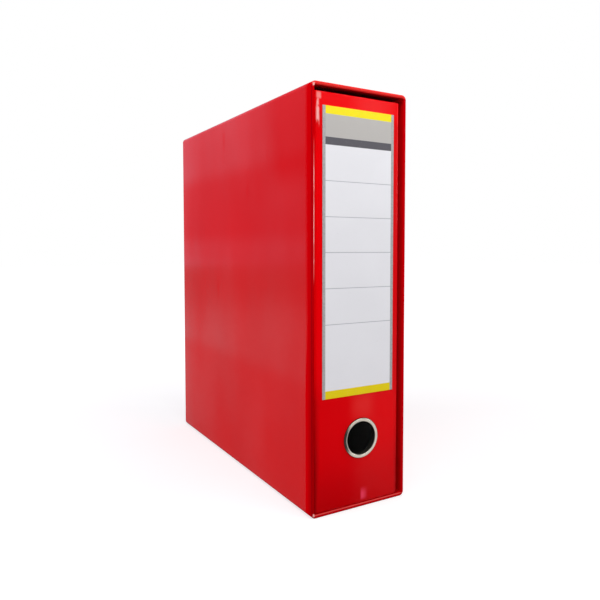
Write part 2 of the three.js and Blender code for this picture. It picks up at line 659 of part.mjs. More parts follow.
// A coil round the axis. Its tail lies over the plate, and its leg runs under the crank's arm.
function archSpring() {
  const route = new WireRoute();
  const along = new THREE.Vector3(0, 1, 0);
  const low = AXIS_HEIGHT - SPRING_COIL;
  route.add(new THREE.Vector3(low, AXIS_REACH - SPRING_TAIL, SPRING_START), along);
  const steps = SPRING_TURNS * SPRING_STEPS;
  for (let i = 0; i <= steps; i += 1) {
    const angle = 2 * Math.PI * i / SPRING_STEPS;
    const x = AXIS_HEIGHT - SPRING_COIL * Math.cos(angle);
    const y = AXIS_REACH + SPRING_COIL * Math.sin(angle);
    const z = SPRING_START - SPRING_PITCH * i / SPRING_STEPS;
    const slope = -SPRING_PITCH / (2 * Math.PI);
    const turnX = SPRING_COIL * Math.sin(angle);
    const turnY = SPRING_COIL * Math.cos(angle);
    route.add(new THREE.Vector3(x, y, z), new THREE.Vector3(turnX, turnY, slope));
  }
  const end = SPRING_START - SPRING_PITCH * SPRING_TURNS;
  const rise = CRANK_RISE * SPRING_LEG / CRANK_REACH;
  const underArm = AXIS_HEIGHT + rise - WIRE_RADIUS - GAP - SPRING_WIRE;
  const tip = new THREE.Vector3(underArm, AXIS_REACH + SPRING_LEG, CRANK_HALF_WIDTH);
  const start = new THREE.Vector3(low, AXIS_REACH, end);
  route.add(tip, tip.clone().sub(start));
  return wire(route, SPRING_WIRE, SPRING_SIDES);
}

// A bent sheet with a finger tip, on two cheeks that hold the pivot and the roller.
function lever() {
  const at = (back, up) => [PIVOT_REACH - back, PIVOT_HEIGHT + up];
  const handle = strip([
    at(-LEVER_HEEL, LEVER_BACK + GAP),
    at(CHEEK_SHOULDER, LEVER_BACK),
    at(LEVER_REACH * HANDLE_FALL, -HANDLE_FALL_DROP),
    at(LEVER_REACH * HANDLE_FLAT, -LEVER_DIP),
    at(LEVER_REACH * HANDLE_TURN, -LEVER_DIP),
    at(LEVER_REACH, -LEVER_TIP_DROP),
  ], LEVER_SHEET, -LEVER_HALF_WIDTH, LEVER_HALF_WIDTH);
  const solids = [handle];
  for (const [z0, z1] of [[-LEVER_HALF_WIDTH, -CHEEK_INSIDE], [CHEEK_INSIDE, LEVER_HALF_WIDTH]]) {
    const link = Math.atan2(PIVOT_AHEAD, PIVOT_ABOVE);
    const [across, down] = [LINK_HALF_WIDTH * Math.cos(link), LINK_HALF_WIDTH * Math.sin(link)];
    const outline = plateShape([
      at(-across, -down),
      at(-LEVER_HEEL, LEVER_BACK),
      at(CHEEK_SHOULDER, LEVER_BACK),
      at(CHEEK_LENGTH, CHEEK_END),
      at(PIVOT_AHEAD + ROLLER_BOSS, -PIVOT_ABOVE),
      at(PIVOT_AHEAD - across, -PIVOT_ABOVE - down),
    ]);
    solids.push(prism(outline, z0, z1));
    solids.push(disc(PIVOT_REACH, PIVOT_HEIGHT, PIVOT_BOSS, z0, z1));
    solids.push(disc(ROLLER_REACH, ROLLER_HEIGHT, ROLLER_BOSS, z0, z1));
  }
  const [z0, z1] = [-LEVER_HALF_WIDTH - OVERRUN, LEVER_HALF_WIDTH + OVERRUN];
  const pivotHole = disc(PIVOT_REACH, PIVOT_HEIGHT, PIVOT_RADIUS + HOLE_CLEARANCE, z0, z1);
  const rollerHole = disc(ROLLER_REACH, ROLLER_HEIGHT, ROLLER_PIN_RADIUS + HOLE_CLEARANCE, z0, z1);
  return joined(solids).subtract(pivotHole).subtract(rollerHole);
}

function leverPivot() {
  const head = EAR_OUTSIDE + GAP;
  const shank = disc(PIVOT_REACH, PIVOT_HEIGHT, PIVOT_RADIUS, -head, head);
  const heads = [[head, head + PIVOT_HEAD], [-head - PIVOT_HEAD, -head]].map(([z0, z1]) =>
    disc(PIVOT_REACH, PIVOT_HEIGHT, PIVOT_HEAD_RADIUS, z0, z1));
  return joined([shank, ...heads]);
}

function roller() {
  const half = CHEEK_INSIDE - ROLLER_SIDE_PLAY;
  const body = disc(ROLLER_REACH, ROLLER_HEIGHT, ROLLER_RADIUS, -half, half);
  const bore = disc(ROLLER_REACH, ROLLER_HEIGHT, ROLLER_PIN_RADIUS + ROLLER_BORE_PLAY,
    -half - OVERRUN, half + OVERRUN);
  return body.subtract(bore);
}

function rollerPin() {
  return disc(ROLLER_REACH, ROLLER_HEIGHT, ROLLER_PIN_RADIUS, -LEVER_HALF_WIDTH, LEVER_HALF_WIDTH);
}

// Two eyes on the posts, joined by a bar that stays clear of the lever, with a turned-up edge.
function compressorBar() {
  const half = POST_SPACING / 2;
  const low = PLATE_THICKNESS + POST_FOOT + BAR_ABOVE_FOOT;
  const high = low + BAR_SHEET;
  const [inner, outer] = [POST_REACH - BAR_START, POST_REACH - BAR_START + BAR_WIDTH];
  const solids = [
    block(low, high, inner, outer, -half, half),
    block(low, low + BAR_FLANGE, outer - BAR_SHEET, outer, -half, half),
  ];
  const holes = [];
  for (const offset of [-half, half]) {
    const eye = [[0, low], [BAR_EYE_RADIUS, low], [BAR_EYE_RADIUS, high], [0, high]];
    solids.push(turnedX(eye, POST_REACH, offset, POST_SEGMENTS));
    const radius = POST_RADIUS + BAR_POST_PLAY;
    const bore = [[0, low - OVERRUN], [radius, low - OVERRUN], [radius, high + OVERRUN],
      [0, high + OVERRUN]];
    holes.push(turnedX(bore, POST_REACH, offset, POST_SEGMENTS));
  }
  return joined(solids).subtract(joined(holes));
}

// ---------------------------------------------------------------- assembly

addCaseBoards();
place(slipcase, 'case_side_wrap', caseSideWrap(), FINISH.redFilm);
place(slipcase, 'case_top_wrap', caseEndWrap(CASE_HEIGHT, CASE_HEIGHT - CASE_LIP), FINISH.redFilm);
place(slipcase, 'case_bottom_wrap', caseEndWrap(0, CASE_LIP), FINISH.redFilm);

addCovers();
place(file, 'spine_label', spineLabel(), FINISH.label);
place(file, 'ring_eyelet', ringEyelet(), FINISH.nickel);
place(file, 'ring_washer', ringWasher(), FINISH.nickel);

place(mechanism, 'base_plate', basePlate(), FINISH.steel);
rivetPlaces().forEach(([reach, offset], i) => {
  place(mechanism, `rivet_${i + 1}`, rivet(reach, offset), FINISH.steel);
});
place(mechanism, 'post_lower', post(-POST_SPACING / 2), FINISH.nickel);
place(mechanism, 'post_upper', post(POST_SPACING / 2), FINISH.nickel);
place(mechanism, 'arch', arch(), FINISH.nickel);
place(mechanism, 'arch_spring', archSpring(), FINISH.steel);
place(mechanism, 'lever', lever(), FINISH.nickel);
place(mechanism, 'lever_pivot', leverPivot(), FINISH.steel);
place(mechanism, 'roller', roller(), FINISH.steel);
place(mechanism, 'roller_pin', rollerPin(), FINISH.steel);
place(mechanism, 'compressor_bar', compressorBar(), FINISH.nickel);

export default part;
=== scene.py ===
"""Looks for a lever arch file in its open-fronted slipcase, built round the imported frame.

Lengths are metres in the frame's own axes: +Z up, with the spine and the slipcase's mouth facing -Y.
The slipcase is greyboard in a red plastic-coated wrap. The file is greyboard in the same wrap, with a
paper lining, a printed label, a nickel finger ring, and a lever mechanism on its back cover.
"""

import math
from functools import reduce

import bmesh
import bpy
import numpy as np
from mathutils import Matrix, Vector


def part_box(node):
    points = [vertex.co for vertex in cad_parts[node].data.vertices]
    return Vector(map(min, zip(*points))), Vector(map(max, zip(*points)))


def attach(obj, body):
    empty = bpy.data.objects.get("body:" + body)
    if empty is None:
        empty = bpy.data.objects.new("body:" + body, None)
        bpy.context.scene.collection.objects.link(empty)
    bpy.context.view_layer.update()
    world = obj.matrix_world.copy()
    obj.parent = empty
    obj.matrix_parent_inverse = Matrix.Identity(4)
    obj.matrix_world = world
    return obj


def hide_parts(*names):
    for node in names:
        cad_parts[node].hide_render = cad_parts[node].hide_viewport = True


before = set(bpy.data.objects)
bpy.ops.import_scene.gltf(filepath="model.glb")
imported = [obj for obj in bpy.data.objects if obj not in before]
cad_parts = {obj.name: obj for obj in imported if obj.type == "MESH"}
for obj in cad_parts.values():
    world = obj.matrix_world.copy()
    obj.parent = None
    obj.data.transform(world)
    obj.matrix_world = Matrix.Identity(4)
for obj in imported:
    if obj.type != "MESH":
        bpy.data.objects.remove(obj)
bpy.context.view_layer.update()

MM = 0.001


def corners(node):
    """A node's lowest and highest corners at rest."""
    return np.array(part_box(node))


# ---- places read from the frame

case_lo, case_hi = corners("case_bottom_wrap")[0], corners("case_top_wrap")[1]
file_lo, file_hi = corners("file_wrap")
lining_lo, lining_hi = corners("file_lining")
label_lo, label_hi = corners("spine_label")
ring_lo, ring_hi = corners("ring_eyelet")
washer_lo, washer_hi = corners("ring_washer")
plate_lo, plate_hi = corners("base_plate")

CASE_MIDDLE = (case_lo + case_hi)[[0, 2]] / 2
RING_X, _, RING_Z = (ring_lo + ring_hi) / 2
COVER_INSIDE = plate_lo[0]
SPINE_INSIDE = washer_lo[1]
MIDDLE_Z = (plate_lo[2] + plate_hi[2]) / 2

# ---- sizes

WELD = 1e-6
SHARP_ANGLE = math.radians(38)

CASE_CORNER = 3.8 * MM           # outer radius of the slipcase's long edges
CASE_BACK_EDGE = 1.2 * MM
CASE_LIP = 2.6 * MM              # wall with the wrap turned in
CASE_LIP_EDGE = 0.9 * MM
CASE_FILM = 0.25 * MM
CASE_TURN_IN = 18 * MM
BOARD_OUTSIDE = 0.3 * MM         # a board's outer face under the wrap
BOARD_INSIDE = 2.3 * MM
BOARD_SET_BACK = 0.8 * MM        # of a wall board's front edge, behind the lip
MOUTH_BEND = 0.2 * MM            # how far the side walls' front edges lean in
MOUTH_BEND_LENGTH = 9 * MM
CORNER_STEPS = 8
SIDE_STEPS = 16

FILE_WALL = 2.6 * MM
FILE_EDGE = 0.7 * MM
FILE_CORNER = 2.8 * MM
HINGE_Y = file_lo[1] + 3.3 * MM
HINGE_CREASE = 0.5 * MM
HINGE_WIDTH = 0.7 * MM
WRINKLE_DEPTH = 0.42 * MM
WRINKLE_FROM_TOP = 30 * MM
WRINKLE_WAVES = ((1.0, 1.15 * MM, 0.0), (0.7, 0.62 * MM, 1.3), (0.8, 2.7 * MM, 0.4))
RING_HOLE = 13.6 * MM
ROLL_SHARE = 0.66                # of the ring's rolled front that is above its widest line
HOLE_PATCH = 18 * MM             # half the square of spine that is divided round the ring's hole
HOLE_STEPS = 12

LINING = 0.3 * MM
LINING_PROUD = 0.05 * MM
LINING_EDGE = 0.06 * MM
LINING_CORNER = 0.8 * MM         # to the middle of the sheet
LABEL_EDGE = 0.1 * MM
LABEL_RIPPLE = 0.02 * MM
LABEL_SUNK = 0.03 * MM           # into the film behind it
LABEL_ENDS = (5.8 * MM, 22.4 * MM, 28.1 * MM)    # of the band, heading and strip, from the top
LABEL_FOOT = 6.0 * MM
LABEL_BORDER = 2.5 * MM
LABEL_SOFT = 0.12 * MM
LABEL_LINES = (249.4 * MM, 223.1 * MM, 196.8 * MM, 170.1 * MM, 143.2 * MM)
LINE_HALF = 0.22 * MM
LINE_SOFT = 0.08 * MM

WIRE = 2.0 * MM
POST = 2.4 * MM
AXIS_HEIGHT = 5 * MM
AXIS_REACH = 38.871 * MM
POST_REACH = 63.871 * MM
ARCH_END = 48.0 * MM
ARCH_TOP = 60.5 * MM
ARCH_BEND = 12.49 * MM
WIRE_BEND = 4 * MM
CRANK_BEND = 3 * MM
CRANK_REACH = 14 * MM
CRANK_RISE = 1.5 * MM
CRANK_HALF = 14 * MM
POST_OFFSET = 40 * MM

PIN_HEAD = 0.8 * MM
PIVOT_SHANK = 1.5 * MM
AXLE_SHANK = 1.0 * MM
ROLLER_BORE = 1.1 * MM

SPRING_WIRE = 0.6 * MM
SPRING_COIL = 3.0 * MM
SPRING_TURNS = 4
SPRING_PITCH = 1.4 * MM
SPRING_START = 22.2 * MM
SPRING_TAIL = 7.6 * MM
SPRING_LEG = 9 * MM
SPRING_LEG_HEIGHT = 3.06 * MM


# ---- surfaces

def slab(face, back):
    """Closes the space between two matching grids: both faces, and a strip between each pair of borders."""
    return [
        face,
        back,
        np.stack([face[0], back[0]]),
        np.stack([face[-1], back[-1]]),
        np.stack([face[:, 0], back[:, 0]]),
        np.stack([face[:, -1], back[:, -1]]),
    ]


def quads_of(grid, start, dropped):
    """Joins each point of a grid to its neighbours in both directions, except where a face is dropped."""
    rows, columns = grid.shape[:2]
    index = start + np.arange(rows * columns).reshape(rows, columns)
    quads = np.stack([index[:-1, :-1], index[1:, :-1], index[1:, 1:], index[:-1, 1:]], -1)
    return quads[~dropped] if dropped is not None else quads.reshape(-1, 4)


def mesh_of(name, grids, dropped=None):
    """Welds grids of points into one mesh with its faces outwards. dropped masks the first grid's faces."""
    counts = [grid.shape[0] * grid.shape[1] for grid in grids]
    starts = np.concatenate([[0], np.cumsum(counts)[:-1]])
    points = np.concatenate([grid.reshape(-1, 3) for grid in grids])
    masks = [dropped] + [None] * (len(grids) - 1)
    faces = np.concatenate([quads_of(g, s, m) for g, s, m in zip(grids, starts, masks)])
    mesh = bpy.data.meshes.new(name)
    mesh.from_pydata(points.tolist(), [], faces.tolist())
    shell = bmesh.new()
    shell.from_mesh(mesh)
    bmesh.ops.remove_doubles(shell, verts=shell.verts, dist=WELD)
    bmesh.ops.dissolve_degenerate(shell, dist=WELD, edges=shell.edges)
    bmesh.ops.recalc_face_normals(shell, faces=shell.faces)
    shell.to_mesh(mesh)
    shell.free()
    mesh.shade_smooth()
    mesh.set_sharp_from_angle(angle=SHARP_ANGLE)
    return mesh


def placed(name, data):
    """A new object at the origin, linked to the scene."""
    made = bpy.data.objects.new(name, data)
    bpy.context.scene.collection.objects.link(made)
    return made


def piece(name, grids, body, material, stands_for, dropped=None):
    """A finished piece at the origin that rides on a body and stands for CAD nodes."""
    made = placed(name, mesh_of(name, grids, dropped))
    made.data.materials.append(material)
    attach(made, body)
    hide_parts(*stands_for)
    return made


def unit(ways):
    """Directions brought to length one."""
    return ways / np.linalg.norm(ways, axis=-1, keepdims=True)


def even_steps(first, *spans):
    """Places from the first one on, with even steps up to each next stop. A span is (steps, stop)."""
    places = [np.array([first])]
    for steps, stop in spans:
        places.append(np.linspace(places[-1][-1], stop, steps + 1)[1:])
    return np.concatenate(places)


def distinct(line):
    """Marks the points of a line that don't repeat the one before."""
    return np.concatenate([[True], np.linalg.norm(np.diff(line, axis=0), axis=1) > WELD])


def turned(profile, centre, axis, segments):
    """A profile of (radius, place along the axis) turned once round a line through centre.

    The two directions across the axis carry radius times cosine and radius times sine of the angle.
    """
    radius, along = np.array(profile, float).T
    angle = np.linspace(0, 2 * np.pi, segments + 1)
    across = [k for k in range(3) if k != axis]
    grid = np.zeros((len(radius), segments + 1, 3))
    grid[:, :, axis] = along[:, None]
    grid[:, :, across[0]] = centre[across[0]] + radius[:, None] * np.cos(angle)
    grid[:, :, across[1]] = centre[across[1]] + radius[:, None] * np.sin(angle)
    return [grid]


def rounded(profile, radius, steps=4):
    """Rounds every inner corner of a line of points: a quadratic curve from one side of it to the other."""
    points = np.array(profile, float)
    before, here, after = points[:-2], points[1:-1], points[2:]
    into, out = here - before, after - here
    length_in = np.linalg.norm(into, axis=1, keepdims=True)
    length_out = np.linalg.norm(out, axis=1, keepdims=True)
    cut = np.minimum(radius, np.minimum(length_in, length_out) * 0.45)
    start = here - into / length_in * cut
    end = here + out / length_out * cut
    t = np.linspace(0, 1, steps + 1)[None, :, None]
    curve = start[:, None] * (1 - t) ** 2 + 2 * here[:, None] * t * (1 - t) + end[:, None] * t ** 2
    return np.concatenate([points[:1], curve.reshape(-1, points.shape[1]), points[-1:]])


def bent_route(stops, radii, steps=14):
    """A route of straight runs joined by true arcs of the given radii, one for each inner stop."""
    stops = [np.array(stop, float) for stop in stops]
    route = [stops[0][None]]
    for before, here, after, radius in zip(stops, stops[1:], stops[2:], radii):
        into, out = unit(here - before), unit(after - here)
        turn = math.acos(np.clip(into @ out, -1, 1))
        start = here - into * radius * math.tan(turn / 2)
        side = unit(out - into * (into @ out))
        angle = np.linspace(0, turn, steps)[:, None]
        route.append(start + radius * (np.sin(angle) * into + (1 - np.cos(angle)) * side))
    route.append(stops[-1][None])
    line = np.concatenate(route)
    return line[distinct(line)]


def tube(route, radius, sides, reference):
    """A round wire along a route: each ring is the route's point plus radius times cosine and sine in the
    two directions square to the route, found from a reference direction that the route never follows.
    Both ends close in over one third of the radius."""
    run = unit(np.gradient(route, axis=0))
    close = np.array([0.0, 0.55, 0.85, 1.0])
    start_lines = route[0] + run[0] * np.linspace(0, radius / 3, 4)[:, None]
    end_lines = route[-1] - run[-1] * np.linspace(radius / 3, 0, 4)[:, None]
    line = np.concatenate([start_lines, route[1:-1], end_lines])
    ways = np.concatenate([np.repeat(run[:1], 4, 0), run[1:-1], np.repeat(run[-1:], 4, 0)])
    widths = np.concatenate([radius * close, np.full(len(route) - 2, radius), radius * close[::-1]])
    first = unit(np.cross(ways, np.array(reference, float)))
    second = np.cross(ways, first)
    angle = np.linspace(0, 2 * np.pi, sides + 1)
    spread = np.cos(angle)[None, :, None] * first[:, None] + np.sin(angle)[None, :, None] * second[:, None]
    return [line[:, None] + widths[:, None, None] * spread]


# ---- the slipcase

def case_loop(inset):
    """The slipcase's rounded rectangle in X and Z, moved in by inset: four quarter circles, each followed
    by a straight side, as a closed loop that starts at the right-hand upper corner."""
    radius = max(CASE_CORNER - inset, 0.2 * MM)
    quarter = np.linspace(0, np.pi / 2, CORNER_STEPS + 1)
    angle = quarter + np.arange(4)[:, None] * np.pi / 2
    signs = np.array([[1, 1], [-1, 1], [-1, -1], [1, -1]])
    half = (case_hi - case_lo)[[0, 2]] / 2 - inset - radius
    arcs = CASE_MIDDLE + (signs * half)[:, None] + radius * np.stack([np.cos(angle), np.sin(angle)], -1)
    share = np.linspace(0, 1, SIDE_STEPS + 1)[1:-1, None]
    sides = arcs[:, -1:] * (1 - share) + np.roll(arcs, -1, axis=0)[:, :1] * share
    loop = np.concatenate([arcs, sides], axis=1).reshape(-1, 2)
    return np.concatenate([loop, loop[:1]])


def lean_in(points):
    """Leans the side walls in before the mouth, by the way along the last stretch to the power 1.5."""
    reach = np.clip((case_lo[1] + MOUTH_BEND_LENGTH - points[..., 1]) / MOUTH_BEND_LENGTH, 0, 1)
    side = np.clip(np.abs(points[..., 0]) / case_hi[0] * 5 - 4, 0, 1)
    leaned = points.copy()
    leaned[..., 0] -= np.sign(points[..., 0]) * side * MOUTH_BEND * reach ** 1.5
    return leaned


def case_ring(inset, y, scale=1.0):
    """One ring of the slipcase at depth y, moved in by inset, then scaled about its middle."""
    loop = CASE_MIDDLE + (case_loop(inset) - CASE_MIDDLE) * scale
    return np.stack([loop[:, 0], np.full(len(loop), y), loop[:, 1]], -1)


def mouth_rows(start, end):
    """Depths between two ends of a wall, closer together over its leaning front stretch."""
    return even_steps(start, (9, case_lo[1] + MOUTH_BEND_LENGTH), (12, end))


def case_film_grid():
    """The slipcase's wrap: from the middle of the back, over the back edge, along the sides, round the
    lip at the mouth and back inside, as rings of the rounded rectangle."""
    front, back = case_lo[1], case_hi[1]
    turn = np.linspace(0, np.pi / 2, 7)
    across, along = 1 - np.cos(turn), 1 - np.sin(turn)
    section = [
        *zip(CASE_BACK_EDGE * along, back - CASE_BACK_EDGE * across),
        *((0.0, y) for y in mouth_rows(back - CASE_BACK_EDGE, front + CASE_LIP_EDGE)[1:]),
        *zip(CASE_LIP_EDGE * across[1:], front + CASE_LIP_EDGE * along[1:]),
        *zip(CASE_LIP - CASE_LIP_EDGE * across[::-1], front + CASE_LIP_EDGE * along[::-1]),
        *((CASE_LIP, y) for y in np.linspace(front + CASE_LIP_EDGE, front + CASE_TURN_IN, 8)[1:]),
    ]
    rings = [case_ring(CASE_BACK_EDGE, back, scale) for scale in (0.0, 0.35, 0.7, 0.93)]
    return lean_in(np.stack(rings + [case_ring(inset, y) for inset, y in section]))


def case_wall_grids(quarter):
    """One wall board between the middles of two corners: the loop under the wrap and the loop inside."""
    count = CORNER_STEPS + SIDE_STEPS
    first = quarter * count + CORNER_STEPS // 2
    picked = np.arange(first, first + count + 1) % (4 * count)
    rows = mouth_rows(case_hi[1] - BOARD_INSIDE, case_lo[1] + BOARD_SET_BACK)
    return slab(*(lean_in(np.stack([case_ring(inset, y)[picked] for y in rows]))
                  for inset in (BOARD_OUTSIDE, BOARD_INSIDE)))


def case_back_grids():
    """The back board: the loop under the wrap, from its middle to its edge, at the board's two depths."""
    scales = (0.0, 0.3, 0.6, 0.9, 1.0)
    inner, outer = (np.stack([case_ring(CASE_BACK_EDGE, case_hi[1] - depth, scale) for scale in scales])
                    for depth in (BOARD_INSIDE, BOARD_OUTSIDE))
    return [inner, outer, np.stack([inner[-1], outer[-1]])]


# ---- sheets of the file

def folded_line(left, right, front, rear, radius, spine_x):
    """The middle line of a sheet folded round the spine: back along the left cover, a quarter circle,
    across the spine, a quarter circle, and along the right cover. Gives points and outward directions."""
    corner_y = front + radius
    depth = even_steps(rear, (11, HINGE_Y + 6 * MM), (25, corner_y))
    turn = np.linspace(0, np.pi / 2, 13)
    sine, cosine = np.sin(turn), np.cos(turn)
    runs = [
        (np.full(len(depth), left), depth, -1.0, 0.0),
        (left + radius - radius * cosine, corner_y - radius * sine, -cosine, -sine),
        (spine_x, np.full(len(spine_x), front), 0.0, -1.0),
        (right - radius + radius * sine, corner_y - radius * cosine, sine, -cosine),
        (np.full(len(depth), right), depth[::-1], 1.0, 0.0),
    ]
    points = np.concatenate([np.stack([x, y], -1) for x, y, _, _ in runs])
    ways = np.concatenate([np.stack([nx + 0 * x, ny + 0 * x], -1) for x, _, nx, ny in runs])
    apart = distinct(points)
    return points[apart], ways[apart]


def folded_ring(points, ways, half, edge, inset):
    """The outline round a folded sheet, moved in by inset: its outer side, a rounded end, its inner side
    and the other rounded end. Also gives the outward direction on the two sides, and nothing at the ends."""
    radius = max(edge - inset, 0.0)
    thick = half - inset
    turn = np.linspace(0, np.pi / 2, 5)[:, None]
    across = thick - radius + radius * np.cos(turn)
    beyond = radius * np.sin(turn) * np.array([0.0, 1.0])

    def end(middle, way):
        return np.concatenate([middle + way * across + beyond, middle - way * across[::-1] + beyond[::-1]])

    right_end, left_end = end(points[-1], ways[-1]), end(points[0], -ways[0])
    ring = np.concatenate([points + ways * thick, right_end, (points - ways * thick)[::-1], left_end])
    still = np.zeros_like(right_end)
    sides = np.concatenate([ways, still, -ways[::-1], still])
    return np.concatenate([ring, ring[:1]]), np.concatenate([sides, sides[:1]])


def folded_sheet(outer, wall, lo, hi, edge, radius, crease):
    """A sheet folded round the spine and lofted upwards, and the mask of the faces it drops for the ring.

    It begins this far inside the file's box, and reaches from lo to hi in height and to hi in depth. It
    has rounded edges, a pressed hinge crease on both sides of each cover, creases in the wrap at the left
    corner near the top, and the ring's hole through its spine.
    """
    half = wall / 2
    left, right, front = file_lo[0] + outer + half, file_hi[0] - outer - half, file_lo[1] + outer + half
    low, high = lo[2], hi[2]
    spine_x = even_steps(left + radius, (5, RING_X - HOLE_PATCH), (HOLE_STEPS, RING_X + HOLE_PATCH),
                         (5, right - radius))[1:-1]
    points, ways = folded_line(left, right, front, hi[1] - edge, radius, spine_x)
    turn = np.linspace(0, np.pi / 2, 5)
    foot = [(half, low)] + [(edge * (1 - math.sin(a)), low + edge * (1 - math.cos(a))) for a in turn]
    heights = even_steps(
        low + edge, (4, RING_Z - HOLE_PATCH), (HOLE_STEPS, RING_Z + HOLE_PATCH),
        (13, high - WRINKLE_FROM_TOP), (45, high - edge))[1:-1]
    rows = foot + [(0.0, z) for z in heights] + [(inset, low + high - z) for inset, z in foot[::-1]]
    grid, facing = [], []
    for inset, z in rows:
        ring, sides = folded_ring(points, ways, half, edge, inset)
        grid.append(np.concatenate([ring, np.full((len(ring), 1), z)], axis=1))
        facing.append(sides)
    grid, facing = np.stack(grid), np.stack(facing)
    pressed = crease * np.exp(-(((grid[..., 1] - HINGE_Y) / HINGE_WIDTH) ** 2))
    pressed += crinkles(grid) * (crease / HINGE_CREASE)
    grid[..., :2] -= facing * pressed[..., None]
    return pierced(grid, front - half, front + half)


def crinkles(grid):
    """Folds in the wrap at the left corner: three waves in height, skewed by depth, strongest on the
    curve and just under the top edge."""
    x, y, z = grid[..., 0], grid[..., 1], grid[..., 2]
    on_corner = np.exp(-(((x - file_lo[0]) / (2.4 * MM)) ** 2)) * np.exp(-(((y - HINGE_Y) / (2.6 * MM)) ** 2))
    near_top = np.clip((z - (file_hi[2] - WRINKLE_FROM_TOP)) / (8 * MM), 0, 1)
    near_top *= np.clip((file_hi[2] - 0.8 * MM - z) / (1.5 * MM), 0, 1)
    waves = sum(height * np.sin((z + 0.8 * y) / length + shift) for height, length, shift in WRINKLE_WAVES)
    return WRINKLE_DEPTH * on_corner * near_top * (0.5 + 0.3 * waves)


def hole_grids(front, back):
    """The flat spine round the ring's hole on both sides: rows from the circle out to a square, and the
    hole's own wall from the front circle to the back one."""
    step = np.linspace(-HOLE_PATCH, HOLE_PATCH, HOLE_STEPS + 1)
    edge = np.full_like(step, HOLE_PATCH)
    sides = ((step, -edge), (edge, step), (step[::-1], edge), (-edge, step[::-1]))
    square = np.concatenate([np.stack(side, -1)[:-1] for side in sides] + [[(-HOLE_PATCH, -HOLE_PATCH)]])
    circle = unit(square) * RING_HOLE
    share = np.linspace(0, 1, 5)[:, None, None]
    flat = circle * (1 - share) + square * share

    def at(y):
        return np.stack([RING_X + flat[..., 0], np.full(flat.shape[:2], y), RING_Z + flat[..., 1]], -1)

    near, far = at(front), at(back)
    return [near, far, np.stack([near[0], far[0]])]


def pierced(grid, front, back):
    """A folded sheet with the ring's hole through its spine, and the mask of the faces it drops."""
    centre = (grid[:-1, :-1] + grid[1:, 1:]) / 2
    slack = HOLE_PATCH / HOLE_STEPS / 4
    dropped = (
        (np.abs(centre[..., 0] - RING_X) < HOLE_PATCH - slack)
        & (np.abs(centre[..., 2] - RING_Z) < HOLE_PATCH - slack)
        & (centre[..., 1] < back + slack)
    )
    return [grid] + hole_grids(front, back), dropped


def label_grids():
    """The spine label: a thin flat sheet with a very slight ripple, edges eased over a short step."""
    ease = np.array([0, 0.35, 1.0]) * LABEL_EDGE

    def stations(low, high, count):
        return np.concatenate([low + ease, np.linspace(low + MM, high - MM, count), high - ease[::-1]])

    x, z = np.meshgrid(stations(label_lo[0], label_hi[0], 24), stations(label_lo[2], label_hi[2], 80))
    rim = np.minimum.reduce([x - label_lo[0], label_hi[0] - x, z - label_lo[2], label_hi[2] - z])
    drop = LABEL_EDGE * (1 - np.sqrt(np.clip(1 - (1 - np.clip(rim / LABEL_EDGE, 0, 1)) ** 2, 0, 1)))
    ripple = LABEL_RIPPLE * (1 + np.sin(z / (13 * MM) + 0.6 * np.sin(x / (21 * MM))))
    face = np.stack([x, label_lo[1] + drop + ripple, z], -1)
    back = np.stack([x, np.full_like(x, label_hi[1] + LABEL_SUNK), z], -1)
    return slab(face, back)


# ---- turned and bent metal

def ring_profile():
    """The eyelet's section: the bore, a rolled front that is an ellipse curled back under its rim, the
    tube's outside and the clenched tail."""
    bore, wall, flange, tail = 12.7 * MM, 0.6 * MM, 15.6 * MM, 15.0 * MM
    face, proud, rear = file_lo[1], ring_lo[1], ring_hi[1]
    middle, half = (bore + flange) / 2, (flange - bore) / 2
    height = (face - proud) * ROLL_SHARE
    rise = (face - proud) - height
    turn = np.linspace(0, np.pi + math.asin(rise / height), 21)
    roll = np.stack([middle - half * np.cos(turn), face - rise - height * np.sin(turn)], -1)
    tail_in = rounded([(bore + wall, face), (bore + wall, rear - wall), (tail, rear - wall), (tail, rear),
                       (bore, rear), (bore, face)], 0.35 * MM)
    return np.concatenate([roll, tail_in])


def washer_profile():
    """The washer's section: a flat ring with eased rims."""
    near, far = washer_lo[1], washer_hi[1]
    outer = (washer_hi[0] - washer_lo[0]) / 2
    return rounded([(RING_HOLE, (near + far) / 2), (RING_HOLE, near), (outer, near), (outer, far),
                    (RING_HOLE, far), (RING_HOLE, (near + far) / 2)], 0.2 * MM)


def at_mechanism(height, reach, offset):
    """A place given from the back cover's inside, the spine's inside and the mechanism's middle."""
    return (COVER_INSIDE + height, SPINE_INSIDE + reach, MIDDLE_Z + offset)


def arch_route():
    """Over from each post to the axis, along the axis, and out to the crank in the middle."""
    half = [
        (ARCH_END, POST_REACH, POST_OFFSET),
        (ARCH_TOP, POST_REACH, POST_OFFSET),
        (ARCH_TOP, AXIS_REACH, POST_OFFSET),
        (AXIS_HEIGHT, AXIS_REACH, POST_OFFSET),
        (AXIS_HEIGHT, AXIS_REACH, CRANK_HALF),
        (AXIS_HEIGHT + CRANK_RISE, AXIS_REACH + CRANK_REACH, CRANK_HALF),
    ]
    stops = [at_mechanism(height, reach, offset) for height, reach, offset in half]
    stops += [at_mechanism(height, reach, -offset) for height, reach, offset in half[::-1]]
    bends = [ARCH_BEND, ARCH_BEND, WIRE_BEND, CRANK_BEND, CRANK_BEND]
    return bent_route(stops, bends + bends[::-1])


